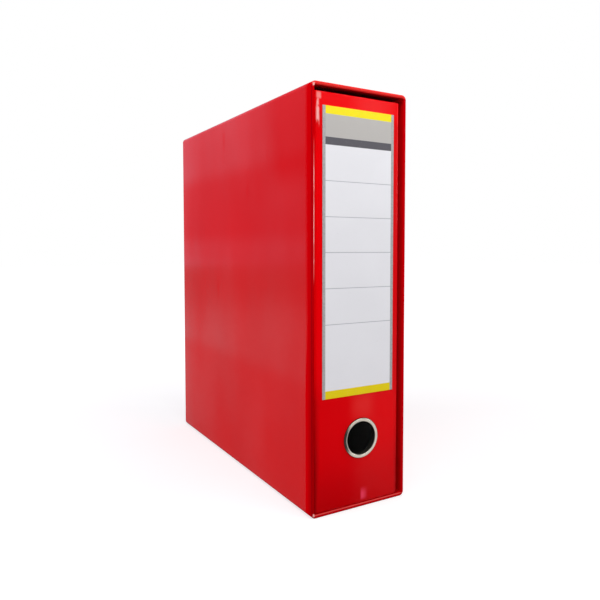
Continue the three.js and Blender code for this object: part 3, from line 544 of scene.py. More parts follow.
def spring_route():
    """A coil round the arch's axis: cosine in height and sine in reach, falling by the pitch each turn,
    with a straight tail on the plate and a straight leg under the crank."""
    angle = np.linspace(0, 2 * np.pi * SPRING_TURNS, 24 * SPRING_TURNS + 1)
    height = AXIS_HEIGHT - SPRING_COIL * np.cos(angle)
    reach = AXIS_REACH + SPRING_COIL * np.sin(angle)
    offset = SPRING_START - SPRING_PITCH * angle / (2 * np.pi)
    coil = np.stack(at_mechanism(height, reach, offset), -1)
    tail = np.array(at_mechanism(AXIS_HEIGHT - SPRING_COIL, AXIS_REACH - SPRING_TAIL, SPRING_START))
    leg = np.array(at_mechanism(SPRING_LEG_HEIGHT, AXIS_REACH + SPRING_LEG, CRANK_HALF + 0.2 * MM))
    share = np.linspace(0, 1, 5)[:, None]
    return np.concatenate([tail * (1 - share[:-1]) + coil[0] * share[:-1], coil,
                           coil[-1] * (1 - share[1:]) + leg * share[1:]])


def post_grids(node):
    """A post turned about its own line: a foot, a shank and an eased top."""
    lo, hi = corners(node)
    foot_radius, foot = (hi[1] - lo[1]) / 2, 1.2 * MM
    centre = (lo + hi) / 2
    profile = rounded([(0, lo[0]), (foot_radius, lo[0]), (foot_radius, lo[0] + foot), (POST, lo[0] + foot),
                       (POST, hi[0]), (0, hi[0])], 0.4 * MM)
    return turned(profile, centre, 0, 40)


def rivet_grids(node):
    """A rivet: a nearly flush outer head, a hidden shank and a domed inner head."""
    lo, hi = corners(node)
    head = (hi[1] - lo[1]) / 2
    seat = COVER_INSIDE + 1.0 * MM
    turn = np.linspace(0, np.pi / 2, 9)
    dome = [(head * math.cos(a), seat + (hi[0] - seat) * math.sin(a)) for a in turn]
    outside = [(0, lo[0] - 0.06 * MM), (head * 0.6, lo[0] - 0.045 * MM), (head * 0.96, lo[0] - 0.02 * MM),
               (head, lo[0] + 0.05 * MM), (head * 0.5, lo[0] + 0.3 * MM), (head * 0.5, seat)]
    return turned(outside + dome, (lo + hi) / 2, 0, 40)


def pin_grids(node, head_length, shank, eased):
    """A pin with the same head at both ends, or a plain one where the shank is as wide as the heads."""
    lo, hi = corners(node)
    head = (hi[0] - lo[0]) / 2
    profile = rounded([(0, lo[2]), (head, lo[2]), (head, lo[2] + head_length), (shank, lo[2] + head_length),
                       (shank, hi[2] - head_length), (head, hi[2] - head_length), (head, hi[2]), (0, hi[2])],
                      eased)
    return turned(profile, (lo + hi) / 2, 2, 40)


def roller_grids():
    """The roller: a tube round its pin with eased rims."""
    lo, hi = corners("roller")
    outer, bore = (hi[0] - lo[0]) / 2, ROLLER_BORE
    middle = (lo[2] + hi[2]) / 2
    profile = rounded([(bore, middle), (bore, lo[2]), (outer, lo[2]), (outer, hi[2]), (bore, hi[2]),
                       (bore, middle)], 0.4 * MM)
    return turned(profile, (lo + hi) / 2, 2, 48)


# ---- finishes

def srgb(red, green, blue):
    """A colour written as 0 to 255 sRGB values, as linear values with full alpha."""
    share = np.array([red, green, blue]) / 255
    linear = np.where(share <= 0.04045, share / 12.92, ((share + 0.055) / 1.055) ** 2.4)
    return (*linear.tolist(), 1.0)


class Wiring:
    """Adds nodes to a tree and joins them. A value is set on its socket, and a socket is linked."""

    def __init__(self, tree):
        self.tree = tree

    def add(self, kind, inputs=None, **settings):
        """A new node with its settings, and its inputs filled."""
        node = self.tree.nodes.new(kind)
        for name, value in settings.items():
            setattr(node, name, value)
        return self.fill(node, inputs or {})

    def fill(self, node, inputs):
        """Feeds a node's inputs, given by name or number."""
        for socket, value in inputs.items():
            self.feed(node.inputs[socket], value)
        return node

    def feed(self, socket, value):
        if isinstance(value, bpy.types.NodeSocket):
            self.tree.links.new(value, socket)
        else:
            socket.default_value = value

    def math(self, operation, first, second=0.0, clamp=False):
        inputs = {0: first, 1: second}
        return self.add("ShaderNodeMath", inputs, operation=operation, use_clamp=clamp).outputs[0]

    def plus(self, first, second):
        return self.math("ADD", first, second)

    def minus(self, first, second):
        return self.math("SUBTRACT", first, second)

    def least(self, first, second):
        return self.math("MINIMUM", first, second)

    def most(self, *values):
        return reduce(lambda first, second: self.math("MAXIMUM", first, second), values)

    def times(self, *values):
        return reduce(lambda first, second: self.math("MULTIPLY", first, second), values)

    def ramp(self, value, low, high, to_low=0.0, to_high=1.0):
        """The value carried smoothly from one span to another."""
        inputs = {"Value": value, "From Min": low, "From Max": high, "To Min": to_low, "To Max": to_high}
        return self.add("ShaderNodeMapRange", inputs, interpolation_type="SMOOTHSTEP").outputs["Result"]

    def fall(self, value, low, high, top=1.0):
        """The value carried smoothly down to 0 from one place to another."""
        return self.ramp(value, low, high, top, 0.0)

    def mix(self, factor, first, second):
        return self.add("ShaderNodeMix", {0: factor, 6: first, 7: second}, data_type="RGBA").outputs[2]

    def layers(self, colour, *coats):
        """A colour under others, each laid over it by its own mask."""
        return reduce(lambda under, coat: self.mix(coat[0], under, coat[1]), coats, colour)

    def scaled(self, colour, amount):
        return self.add("ShaderNodeVectorMath", {0: colour, "Scale": amount}, operation="SCALE").outputs[0]

    def coordinates(self, kind="Object"):
        return self.add("ShaderNodeTexCoord").outputs[kind]

    def place(self, scale=(1, 1, 1), turn=(0, 0, 0)):
        """Object coordinates, turned and scaled."""
        inputs = {"Vector": self.coordinates(), "Scale": scale, "Rotation": turn}
        return self.add("ShaderNodeMapping", inputs).outputs["Vector"]

    def noise(self, vector, scale, detail=3.0, rough=0.5):
        inputs = {"Vector": vector, "Scale": scale, "Detail": detail, "Roughness": rough}
        return self.add("ShaderNodeTexNoise", inputs).outputs["Fac"]

    def rays(self):
        """Masks of the camera's own rays, straight or through something clear, and of mirrored rays."""
        path = self.add("ShaderNodeLightPath").outputs
        return self.most(path["Is Camera Ray"], path["Is Transmission Ray"]), path["Is Glossy Ray"]

    def parts(self, kind="Object"):
        """The X, Y and Z of coordinates."""
        return self.add("ShaderNodeSeparateXYZ", {0: self.coordinates(kind)}).outputs

    def within(self, value, low, high, soft):
        """1 between two values and 0 outside them, with soft borders."""
        rise = self.ramp(value, low - soft, low + soft)
        return self.times(rise, self.fall(value, high - soft, high + soft))


def group(name, defaults, results):
    """An empty node group, with the wiring, the given values and the output node to fill it with. A socket
    whose name ends in Color carries a colour, and any other a value."""
    tree = bpy.data.node_groups.new(name, "ShaderNodeTree")

    def socket(label, way):
        kind = "NodeSocketColor" if label.endswith("Color") else "NodeSocketFloat"
        return tree.interface.new_socket(label, in_out=way, socket_type=kind)

    for label, default in defaults.items():
        socket(label, "INPUT").default_value = default
    for label in results:
        socket(label, "OUTPUT")
    source, target = tree.nodes.new("NodeGroupInput"), tree.nodes.new("NodeGroupOutput")
    return tree, Wiring(tree), source.outputs, target


def film_group():
    """A plastic-coated wrap: slow mottling, board ribs that show through, fine grain and rubbed patches."""
    tree, w, given, out = group(
        "coated_film",
        {"Color": (0.7, 0.0, 0.0, 1), "Worn Color": (0.8, 0.1, 0.1, 1), "Roughness": 0.3, "Gloss": 0.5,
         "Worn": 0.0},
        ("Color", "Roughness", "Gloss", "Height"),
    )
    slow = w.noise(w.place((9, 9, 5)), 1.0, 2.0)
    ribs = w.noise(w.place((55, 55, 2.2)), 1.0, 2.0, 0.4)
    grain = w.noise(w.place(), 1500, 2.0)
    rub = w.noise(w.place((70, 70, 16), (0.3, 0.2, 0.5)), 1.0, 5.0, 0.65)
    rubbed = w.ramp(rub, 0.58, 0.75)
    mottled = w.scaled(given["Color"], w.ramp(slow, 0.3, 0.7, 0.955, 1.03))
    worn = w.math("MULTIPLY", given["Worn"], w.ramp(grain, 0.35, 0.65, 0.4, 1.0), clamp=True)
    rough = w.plus(given["Roughness"], w.times(rubbed, 0.07))
    rough = w.plus(rough, w.times(w.minus(slow, 0.5), 0.10))
    cloudy = w.ramp(w.noise(w.place((11, 11, 6), (0.2, 0.4, 0.1)), 1.0, 2.0), 0.3, 0.7, 0.75, 1.2)
    dulled = w.times(cloudy, w.ramp(w.most(worn, rubbed), 0.0, 1.0, 1.0, 0.7))
    w.fill(out, {
        "Color": w.mix(worn, mottled, given["Worn Color"]),
        "Roughness": w.math("ADD", rough, w.times(worn, 0.15), clamp=True),
        "Gloss": w.math("MULTIPLY", given["Gloss"], dulled, clamp=True),
        "Height": w.plus(w.times(ribs, 0.85), w.times(grain, 0.012)),
    })
    return tree


def fibre_group():
    """Pressed fibre: short strands along two directions, specks and slow blotches."""
    tree, w, given, out = group(
        "pressed_fibre",
        {"Color": (0.4, 0.38, 0.36, 1), "Speck Color": (0.2, 0.19, 0.18, 1), "Strength": 1.0,
         "Blotches": 1.0},
        ("Color", "Roughness", "Height"),
    )
    along = w.noise(w.place((260, 1500, 1500), (0.2, 0.1, 0.6)), 1.0, 3.0, 0.6)
    across = w.noise(w.place((1500, 1500, 260), (0.5, 0.3, 0.1)), 1.0, 3.0, 0.6)
    blotch = w.noise(w.place(), 28, 3.0)
    fibre = w.plus(w.times(along, 0.5), w.times(across, 0.5))
    specks = w.times(w.ramp(fibre, 0.56, 0.68), given["Strength"])
    light = w.plus(1.0, w.times(w.ramp(blotch, 0.3, 0.7, -0.06, 0.04), given["Blotches"]))
    w.fill(out, {
        "Color": w.mix(w.times(specks, 0.6), w.scaled(given["Color"], light), given["Speck Color"]),
        "Roughness": w.ramp(fibre, 0.3, 0.7, 0.75, 0.95),
        "Height": fibre,
    })
    return tree


def metal_group():
    """Plated or rolled metal: drawn lines along one axis, slow tone changes and fine pits."""
    tree, w, given, out = group(
        "drawn_metal",
        {"Color": (0.7, 0.68, 0.62, 1), "Dull Color": (0.5, 0.47, 0.42, 1), "Roughness": 0.2, "Drawn": 0.1},
        ("Color", "Roughness", "Height"),
    )
    drawn = w.noise(w.place((1800, 1800, 90)), 1.0, 3.0, 0.6)
    slow = w.noise(w.place(), 60, 3.0)
    pits = w.noise(w.place(), 2200, 2.0)
    rough = w.plus(given["Roughness"], w.times(w.minus(drawn, 0.5), given["Drawn"], 1.6))
    w.fill(out, {
        "Color": w.mix(w.ramp(slow, 0.35, 0.75), given["Color"], given["Dull Color"]),
        "Roughness": w.math("ADD", rough, w.ramp(slow, 0.45, 0.8, 0.0, 0.08), clamp=True),
        "Height": w.plus(w.times(drawn, given["Drawn"]), w.times(pits, 0.15)),
    })
    return tree


def finished(name, tree, values, bump, depth, shader_values):
    """A material whose colour, roughness and bump come from one node group. Gives its wiring and nodes."""
    material = bpy.data.materials.new(name)
    material.use_nodes = True
    w = Wiring(material.node_tree)
    shader = material.node_tree.nodes["Principled BSDF"]
    surface = w.add("ShaderNodeGroup", values, node_tree=tree)
    relief = {"Strength": bump, "Distance": depth, "Height": surface.outputs["Height"]}
    w.fill(shader, {"Base Color": surface.outputs["Color"], "Roughness": surface.outputs["Roughness"],
                    "Normal": w.add("ShaderNodeBump", relief).outputs["Normal"], **shader_values})
    return material, w, surface, shader


coated_film = film_group()
pressed_fibre = fibre_group()
drawn_metal = metal_group()

RED = srgb(222, 0, 9)
RED_WORN = srgb(238, 92, 100)
# painted glints: pale spots and lines on the film
RED_GLINT = srgb(255, 196, 190)
# painted shade in a deeper red
RED_PAINTED_SHADE = srgb(140, 0, 4)
# painted light in a brighter red
RED_LIT = srgb(255, 0, 8)
# painted shade on the slipcase's inner faces
RED_INSIDE_SHADE = srgb(96, 0, 6)
# painted shade on the slipcase's edge lines
RED_EDGE_SHADE = srgb(116, 8, 30)
# painted sheen and highlights in a lighter red
RED_PAINTED_SHEEN = srgb(246, 60, 56)
# a painted glint low on the file's spine
RED_FOOT_GLINT = srgb(255, 74, 108)
# painted shade on the finger ring
RING_SHADE = srgb(30, 20, 18)
FIELD_WHITE = srgb(240, 240, 244)
LINE_GREY = srgb(176, 178, 186)
STRIP_GREY = srgb(92, 90, 97)
HEADING_GREY = srgb(190, 187, 183)
TOP_YELLOW = srgb(252, 234, 0)
FOOT_YELLOW = srgb(240, 216, 0)
CASE_GLOSS = 0.56
FILE_GLOSS = 0.07
FILE_GLOSS_RIGHT = 0.32
FILM_SHADER = {"IOR": 1.45, "Specular IOR Level": 0.0, "Coat Roughness": 0.13, "Coat IOR": 1.5}


def red_film(name):
    """The red film's material, with its coat as heavy as its node group says."""
    values = {"Color": RED, "Worn Color": RED_WORN, "Roughness": 0.35}
    material, w, surface, shader = finished(name, coated_film, values, 1.0, 0.2 * MM, FILM_SHADER)
    w.feed(shader.inputs["Coat Weight"], surface.outputs["Gloss"])
    return material, w, surface, shader


def case_film_finish():
    """Red film on the slipcase.

    It is rubbed lighter along its long edges, with painted shade on the edge lines themselves. The lip has
    painted highlights: glints down a folded line on its left side, along its foot and at its left-hand
    corners, and a lighter band along its top. The lip and the strip behind it have painted shade, more so
    low down, and the inner faces of the top and bottom boards have painted shade. The gloss begins behind
    the strip, changes with height, and is calmer near the upper mouth and on the top face.
    """
    material, w, surface, shader = red_film("case_red_film")
    x, y, z = w.parts()
    up, from_top = w.minus(z, case_lo[2]), w.minus(case_hi[2], z)
    from_left, from_side = w.minus(x, case_lo[0]), w.minus(case_hi[0], w.math("ABSOLUTE", x))
    from_end = w.least(up, from_top)
    from_mouth = w.minus(y, case_lo[1])
    from_rim = w.least(from_mouth, w.minus(case_hi[1], y))
    long_edge = w.fall(w.most(from_side, from_end), 1.0 * MM, 2.4 * MM)
    patchy = w.ramp(w.noise(w.place(), 130, 4.0, 0.6), 0.42, 0.62)
    w.feed(surface.inputs["Worn"], w.times(long_edge, w.times(patchy, 0.2)))
    # Painted shade: a dark red line along the long edges and on their rims, laid on as a colour.
    rims = [w.times(w.fall(w.most(edge, from_rim), 0.1 * MM, 1.0 * MM), 0.6)
            for edge in (from_side, from_end)]
    edge_shade = w.most(w.times(long_edge, 0.45), *rims)

    on_lip = w.fall(from_mouth, 0.3 * MM, 0.9 * MM)
    # Painted highlights: glints on the lip down its left side, along its foot and at its left-hand corners.
    broken = w.ramp(w.noise(w.place((40, 40, 90)), 1.0, 3.0), 0.36, 0.56, 0.4, 1.0)
    sharpest = w.within(up, 206 * MM, 234 * MM, 8 * MM)
    fold_glint = w.times(w.within(from_left, 1.9 * MM, 2.8 * MM, 0.15 * MM),
                   w.within(up, 185 * MM, 268 * MM, 14 * MM), w.most(broken, sharpest), on_lip)
    lip_foot_glint = w.times(w.within(up, 2.0 * MM, 2.6 * MM, 0.2 * MM), on_lip, 0.15)
    knock_glint = w.times(w.within(from_left, 1.3 * MM, 2.8 * MM, 0.4 * MM),
                    w.within(from_end, 1.7 * MM, 3.8 * MM, 0.5 * MM), on_lip, 0.9)
    # Painted highlight: a lighter band along the top of the lip.
    top_lip_highlight = w.times(w.fall(from_top, 2.4 * MM, 3.2 * MM), w.fall(from_mouth, 0.3 * MM, 1.0 * MM, 0.75))

    # Painted shade on the lip, more so low down, on the strip behind the mouth and over the whole lip.
    lip_shade = w.times(w.fall(from_left, 2.4 * MM, 2.9 * MM), w.ramp(up, 60 * MM, 200 * MM, 0.62, 0.28),
                        w.fall(from_mouth, 0.2 * MM, 1.6 * MM))
    strip_shade = w.times(w.fall(from_mouth, 0.0, 8 * MM), w.ramp(up, 20 * MM, 270 * MM, 0.6, 0.15),
                          w.fall(from_side, 0.0, 1 * MM))
    shade = w.most(lip_shade, strip_shade, w.fall(from_mouth, 0.2 * MM, 1.2 * MM, 0.28))
    # Painted shade on the inner faces: none on the side walls, more on the top and bottom boards.
    inside = w.times(w.ramp(w.least(from_side, from_end), 2.2 * MM, 2.5 * MM),
                     w.within(y, case_lo[1] + 1.5 * MM, case_hi[1] - 5 * MM, 1 * MM),
                     w.ramp(from_side, 2.8 * MM, 5 * MM, 0.0, 0.6))
    w.feed(shader.inputs["Base Color"], w.layers(
        surface.outputs["Color"], (edge_shade, RED_EDGE_SHADE), (shade, RED_PAINTED_SHADE), (inside, RED_INSIDE_SHADE),
        (top_lip_highlight, RED_PAINTED_SHEEN), (w.most(fold_glint, lip_foot_glint, knock_glint), RED_GLINT)))

    calm = w.times(w.fall(from_top, 45 * MM, 90 * MM), w.fall(from_mouth, 40 * MM, 100 * MM))
    dull_band = w.within(up, 207 * MM, 270 * MM, 15 * MM)
    bright_band = w.within(up, 100 * MM, 186 * MM, 14 * MM)
    changes = [w.ramp(mask, 0.0, 1.0, 1.0, change)
               for mask, change in ((calm, 0.42), (dull_band, 0.62), (bright_band, 1.5))]
    gloss = w.times(CASE_GLOSS, *changes, w.ramp(from_top, 0.2 * MM, 1.0 * MM, 0.4, 1.0))
    past_strip = w.minus(from_mouth, w.ramp(z, case_lo[2], case_hi[2], 8.5 * MM, 10 * MM))
    fade = w.ramp(up, 90 * MM, 150 * MM, -0.8 * MM, -5 * MM)
    w.feed(surface.inputs["Gloss"], w.ramp(past_strip, fade, 0.8 * MM, 0.0, gloss))
    return material


def file_film_finish():
    """Red film on the file.

    It is rubbed along its top and foot and its hinge creases, and has painted glints at the folds of the
    upper left corner. The spine has painted shade down each side, low down, and towards its foot; painted
    light as a livelier red by its left side, in a band low down and at its top; a painted sheen under the
    label; and a painted glint near the foot. The gloss is stronger to the right.
    """
    material, w, surface, shader = red_film("file_red_film")
    x, y, z = w.parts()
    from_left, from_right = w.minus(x, file_lo[0]), w.minus(file_hi[0], x)
    from_foot, from_top = w.minus(z, file_lo[2]), w.minus(file_hi[2], z)
    w.feed(surface.inputs["Gloss"], w.ramp(x, -14 * MM, 10 * MM, FILE_GLOSS, FILE_GLOSS_RIGHT))
    crease = w.within(y, HINGE_Y - 0.5 * MM, HINGE_Y + 0.5 * MM, 0.4 * MM)
    edge = w.fall(w.least(from_foot, from_top), 0.1 * MM, 0.9 * MM)
    patchy = w.ramp(w.noise(w.place(), 150, 4.0, 0.6), 0.42, 0.62)
    w.feed(surface.inputs["Worn"], w.times(w.most(w.times(crease, 0.35), w.times(edge, 0.6)), patchy))

    blots = w.ramp(w.noise(w.place((330, 150, 120), (0.0, 0.15, 0.0)), 1.0, 3.0, 0.55), 0.38, 0.58)
    # Painted highlights: glints on the creased film at the upper left corner.
    top_fold_glint = w.times(w.within(from_left, 2.2 * MM, 5.6 * MM, 0.9 * MM),
                       w.within(from_top, 1.0 * MM, 5.4 * MM, 1.0 * MM), w.most(blots, 0.45))
    side_fold_glint = w.times(w.within(from_left, 2.0 * MM, 4.2 * MM, 0.8 * MM),
                        w.within(from_top, 4.0 * MM, 24 * MM, 3.0 * MM), blots, 0.85)
    # Painted highlight: a pinkish glint low on the spine.
    spine_foot_glint = w.times(w.ramp(x, 1.0 * MM, 2.6 * MM), w.fall(x, 2.6 * MM, 9 * MM),
                      w.ramp(from_foot, 1 * MM, 4 * MM), w.fall(from_foot, 6 * MM, 13 * MM, 0.8))
    # Painted shade: down each side of the spine low down, and towards the foot, heavier on the left.
    groove_shade = w.times(w.fall(w.least(from_left, from_right), 0.0, 6.0 * MM),
                     w.fall(from_foot, 40 * MM, 130 * MM, 0.75))
    foot = w.times(w.fall(from_foot, 0.0, 45 * MM, 0.35), w.ramp(x, file_lo[0], file_hi[0], 1.0, 0.3))
    # Painted light: a livelier red by the left side, in a band low down and under the top edge.
    lit_beside = w.times(w.fall(from_left, 6.0 * MM, 12.0 * MM, 0.7),
                     w.within(z, file_lo[2] + 90 * MM, file_hi[2] - 30 * MM, 25 * MM))
    lit_low = w.times(w.ramp(x, file_lo[0], file_hi[0], 0.2, 0.4),
                   w.within(from_foot, 40 * MM, 95 * MM, 25 * MM))
    painted_light = w.most(lit_beside, lit_low, w.fall(from_top, 11 * MM, 20 * MM, 0.55))
    # Painted sheen: a lighter patch under the label.
    painted_sheen_pool = w.times(w.within(x, -6 * MM, 12 * MM, 6 * MM),
                   w.within(z, label_lo[2] - 18 * MM, label_lo[2], 9 * MM), 0.35)

    on_spine = w.fall(y, HINGE_Y - 1 * MM, HINGE_Y + 1 * MM)
    coats = ((w.most(groove_shade, foot), RED_PAINTED_SHADE), (painted_light, RED_LIT), (painted_sheen_pool, RED_PAINTED_SHEEN),
             (spine_foot_glint, RED_FOOT_GLINT), (w.most(top_fold_glint, side_fold_glint), RED_GLINT))
    w.feed(shader.inputs["Base Color"], w.layers(
        surface.outputs["Color"], *((w.times(mask, on_spine), tone) for mask, tone in coats)))
    return material


def ring_finish():
    """Nickel on the finger ring, with painted shade in the crevice under its rim, along the inside of its
    bore, and round the outer part of its left-hand arc."""
    material, w, surface, shader = finished(
        "ring_nickel", drawn_metal,
        {"Color": srgb(252, 246, 230), "Dull Color": srgb(242, 234, 214), "Roughness": 0.2, "Drawn": 0.05},
        0.3, 0.01 * MM, {"Metallic": 0.75})
    x, _, z = w.parts()
    aside, upward = w.minus(x, RING_X), w.minus(z, RING_Z)
    radius = w.math("SQRT", w.plus(w.math("POWER", aside, 2.0), w.math("POWER", upward, 2.0)))
    # Painted shade: round the outer left-hand arc, in the crevice under the rim and inside the bore.
    left_arc_shade = w.times(w.fall(w.math("DIVIDE", aside, radius), -0.95, -0.6),
                       w.ramp(radius, 13.4 * MM, 14.0 * MM))
    crevice = w.most(w.ramp(radius, 15.0 * MM, 15.35 * MM), left_arc_shade)
    bore = w.fall(radius, 12.9 * MM, 13.3 * MM)
    dark = w.most(w.times(crevice, 0.95), w.times(bore, 0.9))
    w.feed(shader.inputs["Base Color"], w.mix(dark, surface.outputs["Color"], RING_SHADE))
    return material


def label_finish():
    """The printed label: grey side borders, a yellow band at each end, a grey heading, a dark strip and
    a white field with ruled lines. It carries no words."""
    material, w, surface, shader = finished(
        "label_print", pressed_fibre, {"Speck Color": srgb(205, 205, 205), "Strength": 0.2, "Blotches": 0.2},
        0.25, 0.02 * MM, {"IOR": 1.45, "Specular IOR Level": 0.3})
    x, _, z = w.parts()
    soft = LABEL_SOFT
    band_end, heading_end, strip_end = (label_hi[2] - depth for depth in LABEL_ENDS)
    foot_end = label_lo[2] + LABEL_FOOT
    lines = [(w.within(z, line - LINE_HALF, line + LINE_HALF, LINE_SOFT), LINE_GREY) for line in LABEL_LINES]
    printed = w.layers(
        FIELD_WHITE, (w.fall(z, foot_end - soft, foot_end + soft), FOOT_YELLOW), *lines,
        (w.within(z, strip_end, heading_end, soft), STRIP_GREY),
        (w.within(z, heading_end, band_end, soft), HEADING_GREY),
        (w.ramp(z, band_end - soft, band_end + soft), TOP_YELLOW))
    border = w.mix(w.ramp(w.noise(w.place(), 700, 2.0), 0.35, 0.65), srgb(168, 166, 168), srgb(182, 180, 181))
    field = w.within(x, label_lo[0] + LABEL_BORDER, label_hi[0] - LABEL_BORDER, soft)
    w.feed(surface.inputs["Color"], w.mix(field, border, printed))
    w.feed(shader.inputs["Roughness"], w.ramp(w.noise(w.place(), 300, 3.0), 0.3, 0.7, 0.34, 0.42))
    return material


case_red = case_film_finish()
file_red = file_film_finish()
label_print = label_finish()
ring_nickel = ring_finish()
grey_board = finished(
    "grey_board", pressed_fibre,
    {"Color": srgb(150, 146, 140), "Speck Color": srgb(96, 92, 88), "Strength": 1.0},
    0.6, 0.08 * MM, {"IOR": 1.4})[0]
lining_paper = finished(
    "lining_paper", pressed_fibre,
    {"Color": srgb(168, 169, 170), "Speck Color": srgb(132, 132, 134), "Strength": 0.5},
    0.4, 0.04 * MM, {"IOR": 1.4})[0]
nickel = finished(
    "nickel_plate", drawn_metal,
    {"Color": srgb(232, 226, 214), "Dull Color": srgb(214, 206, 192), "Roughness": 0.13, "Drawn": 0.06},
    0.3, 0.01 * MM, {"Metallic": 1.0})[0]
steel = finished(
    "zinc_steel", drawn_metal,
    {"Color": srgb(196, 196, 196), "Dull Color": srgb(168, 168, 170), "Roughness": 0.3, "Drawn": 0.2},
    0.5, 0.02 * MM, {"Metallic": 1.0})[0]

# ---- pieces of the slipcase

case_film = piece("case_film", [case_film_grid()], "slipcase", case_red,
                  ["case_side_wrap", "case_top_wrap", "case_bottom_wrap"])
skin = case_film.modifiers.new("film", "SOLIDIFY")
skin.thickness = CASE_FILM
skin.offset = -1

for quarter, side in enumerate(("top", "left", "bottom", "right", "back")):
    grids = case_back_grids() if side == "back" else case_wall_grids(quarter)
    piece(f"case_wall_{side}", grids, "slipcase", grey_board, [f"case_{side}_board"])

# ---- pieces of the file

grids, dropped = folded_sheet(0.0, FILE_WALL, file_lo, file_hi, FILE_EDGE, FILE_CORNER - FILE_WALL / 2,
                              HINGE_CREASE)
piece("file_film", grids, "file", file_red, ["file_wrap"], dropped)
grids, dropped = folded_sheet(FILE_WALL + LINING_PROUD - LINING, LINING, lining_lo, lining_hi, LINING_EDGE,
                              LINING_CORNER, 0.0)
piece("cover_lining", grids, "file", lining_paper, ["file_lining"], dropped)

piece("label_sheet", label_grids(), "file", label_print, ["spine_label"])

ring_centre = (RING_X, 0.0, RING_Z)
piece("finger_ring", turned(ring_profile(), ring_centre, 1, 128), "file", ring_nickel,
      ["ring_eyelet"])
piece("finger_ring_washer", turned(washer_profile(), ring_centre, 1, 96), "file", nickel,
      ["ring_washer"])

# ---- pieces of the mechanism

piece("arch_wire", tube(arch_route(), WIRE, 24, (1, 1, 1)), "arch", nickel, ["arch"])
piece("arch_coil", tube(spring_route(), SPRING_WIRE, 12, (0, 0, 1)), "file", steel, ["arch_spring"])
for node in ("post_lower", "post_upper"):
    piece(f"{node}_turned", post_grids(node), "file", nickel, [node])
for number in range(1, 5):
    node = f"rivet_{number}"
    piece(f"{node}_domed", rivet_grids(node), "file", steel, [node])
piece("lever_pivot_pin", pin_grids("lever_pivot", PIN_HEAD, PIVOT_SHANK, 0.25 * MM), "file", steel,
      ["lever_pivot"])
piece("roller_axle", pin_grids("roller_pin", PIN_HEAD, AXLE_SHANK, 0.2 * MM), "lever", steel,
      ["roller_pin"])
piece("roller_barrel", roller_grids(), "roller", steel, ["roller"])

CAD_FINISHES = (
    (grey_board, ("spine_board", "front_cover_board", "back_cover_board")),
    (steel, ("base_plate",)),
    (nickel, ("lever", "compressor_bar")),
)
for material, nodes in CAD_FINISHES:
    for node in nodes:
        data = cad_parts[node].data
        data.materials.clear()
        data.materials.append(material)

# ---- stage, light and camera

WHITE = (1, 1, 1, 1)
FLOOR_REACH = 6.0
FLOOR_DROP = 0.2 * MM
floor_x, floor_y = np.meshgrid(*[np.linspace(-FLOOR_REACH, FLOOR_REACH, 3)] * 2)
floor_mesh = bpy.data.meshes.new("floor")
floor_points = np.stack([floor_x, floor_y, np.full_like(floor_x, -FLOOR_DROP)], -1)
floor_mesh.from_pydata(floor_points.reshape(-1, 3).tolist(), [], quads_of(floor_points, 0, None).tolist())
floor = placed("floor", floor_mesh)

FLOOR_GLOW = 0.85
FLOOR_GLOW_NEAR = 0.62           # low enough near the object to keep its shadow
NEAR_FLOOR = 0.2
FAR_FLOOR = 0.9
FLOOR_GLOSS = 0.05
floor_material = bpy.data.materials.new("pale_floor")
floor_material.use_nodes = True
wire = Wiring(floor_material.node_tree)
floor_shader = floor_material.node_tree.nodes["Principled BSDF"]
floor_tone = wire.ramp(wire.noise(wire.place(), 3, 2.0), 0.3, 0.7)
seen, mirrored = wire.rays()
east, north, _ = wire.parts()
away = wire.math("SQRT", wire.plus(wire.times(east, east), wire.times(north, north)))
glow = wire.ramp(away, NEAR_FLOOR, FAR_FLOOR, FLOOR_GLOW_NEAR, FLOOR_GLOW)
wire.fill(floor_shader, {
    "Base Color": wire.mix(floor_tone, srgb(184, 184, 184), srgb(190, 190, 190)),
    "Roughness": 1.0,
    "Specular IOR Level": 0.0,
    "Emission Color": WHITE,
    "Emission Strength": wire.plus(wire.times(seen, glow), wire.times(mirrored, FLOOR_GLOSS)),
})
floor_mesh.materials.append(floor_material)

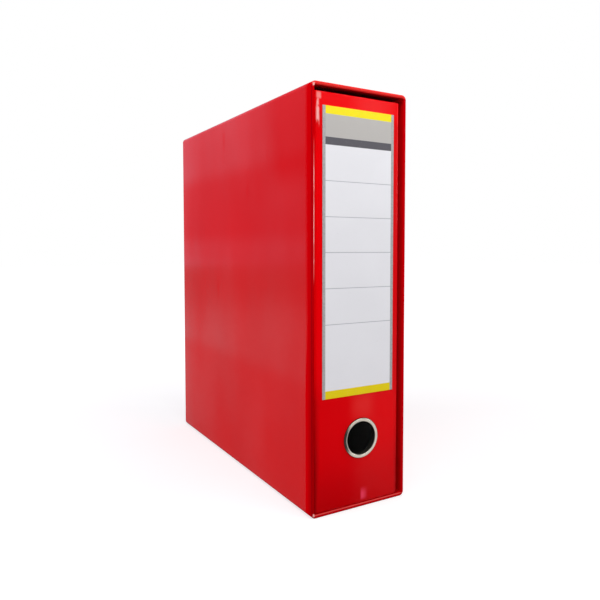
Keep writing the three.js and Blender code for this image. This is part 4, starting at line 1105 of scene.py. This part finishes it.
world = bpy.data.worlds.new("studio")
bpy.context.scene.world = world
world.use_nodes = True
world.cycles.sampling_method = "NONE"
wire = Wiring(world.node_tree)
sky = world.node_tree.nodes["Background"]
COOL_WHITE = (0.95, 0.80, 1.0, 1)
AMBIENT = 0.42
BACKDROP_GLOSS = 1.0
ROOM_GLOSS = 0.45
CEILING_GLOSS = 0.12
seen, mirrored = wire.rays()
to_right, to_rear, to_top = wire.parts("Generated")
behind = wire.ramp(to_rear, -0.25, 0.75)
raised = wire.ramp(to_top, -0.35, 0.6, 0.2, 1.0)
aside = wire.ramp(to_right, -0.6, -0.3, 0.9, 1.0)
room = wire.ramp(to_top, 0.25, 0.55, ROOM_GLOSS, CEILING_GLOSS)
gloss = wire.ramp(wire.times(behind, aside, raised), 0.0, 1.0, room, BACKDROP_GLOSS)
lit = wire.plus(wire.times(mirrored, gloss), wire.times(wire.minus(1.0, mirrored), AMBIENT))
cool = wire.times(behind, wire.minus(1.0, seen))
wire.fill(sky, {"Strength": wire.most(lit, seen), "Color": wire.mix(cool, WHITE, COOL_WHITE)})


def lamp(name, place, aim, width, height, power, tint=(1, 1, 1), mirrored=True):
    """A soft rectangular lamp at a place, turned towards a point. It may be left out of reflections."""
    data = bpy.data.lights.new(name, "AREA")
    data.color = tint
    data.shape = "RECTANGLE"
    data.size, data.size_y, data.energy = width, height, power
    made = placed(name, data)
    made.visible_glossy = mirrored
    made.location = place
    made.rotation_euler = (Vector(aim) - Vector(place)).to_track_quat("-Z", "Y").to_euler()


lamp("key", (0.25, -1.25, 0.74), (0.0, -0.145, 0.26), 1.1, 0.4, 3.55)
lamp("right_strip", (0.85, -0.62, 0.5), (0.0, -0.145, 0.2), 0.16, 0.5, 1.2)
lamp("overhead", (0.02, -0.32, 0.66), (0.0, -0.145, 0.3), 0.5, 0.2, 1.6, mirrored=False)
lamp("left_bank", (-1.3, 0.35, 0.8), (-0.043, 0.05, 0.2), 0.9, 0.9, 12.5, (0.88, 0.93, 1.0))

CAMERA_PLACE = Vector((-0.2598, -0.5277, 0.2010))
CAMERA_AHEAD = Vector((0.5371, 0.84215, -0.04814))
CAMERA_ROLL = math.radians(0.15)

view = bpy.data.cameras.new("view")
view.lens, view.sensor_width = 36.53, 36.0
view.shift_x, view.shift_y = -0.0719, -0.0396
view.clip_start, view.clip_end = 0.01, 50
camera = placed("view", view)
turned_to = CAMERA_AHEAD.to_track_quat("-Z", "Y").to_matrix() @ Matrix.Rotation(CAMERA_ROLL, 3, "Z")
camera.matrix_world = Matrix.Translation(CAMERA_PLACE) @ turned_to.to_4x4()
bpy.context.scene.camera = camera
bpy.context.scene.view_settings.view_transform = "Standard"
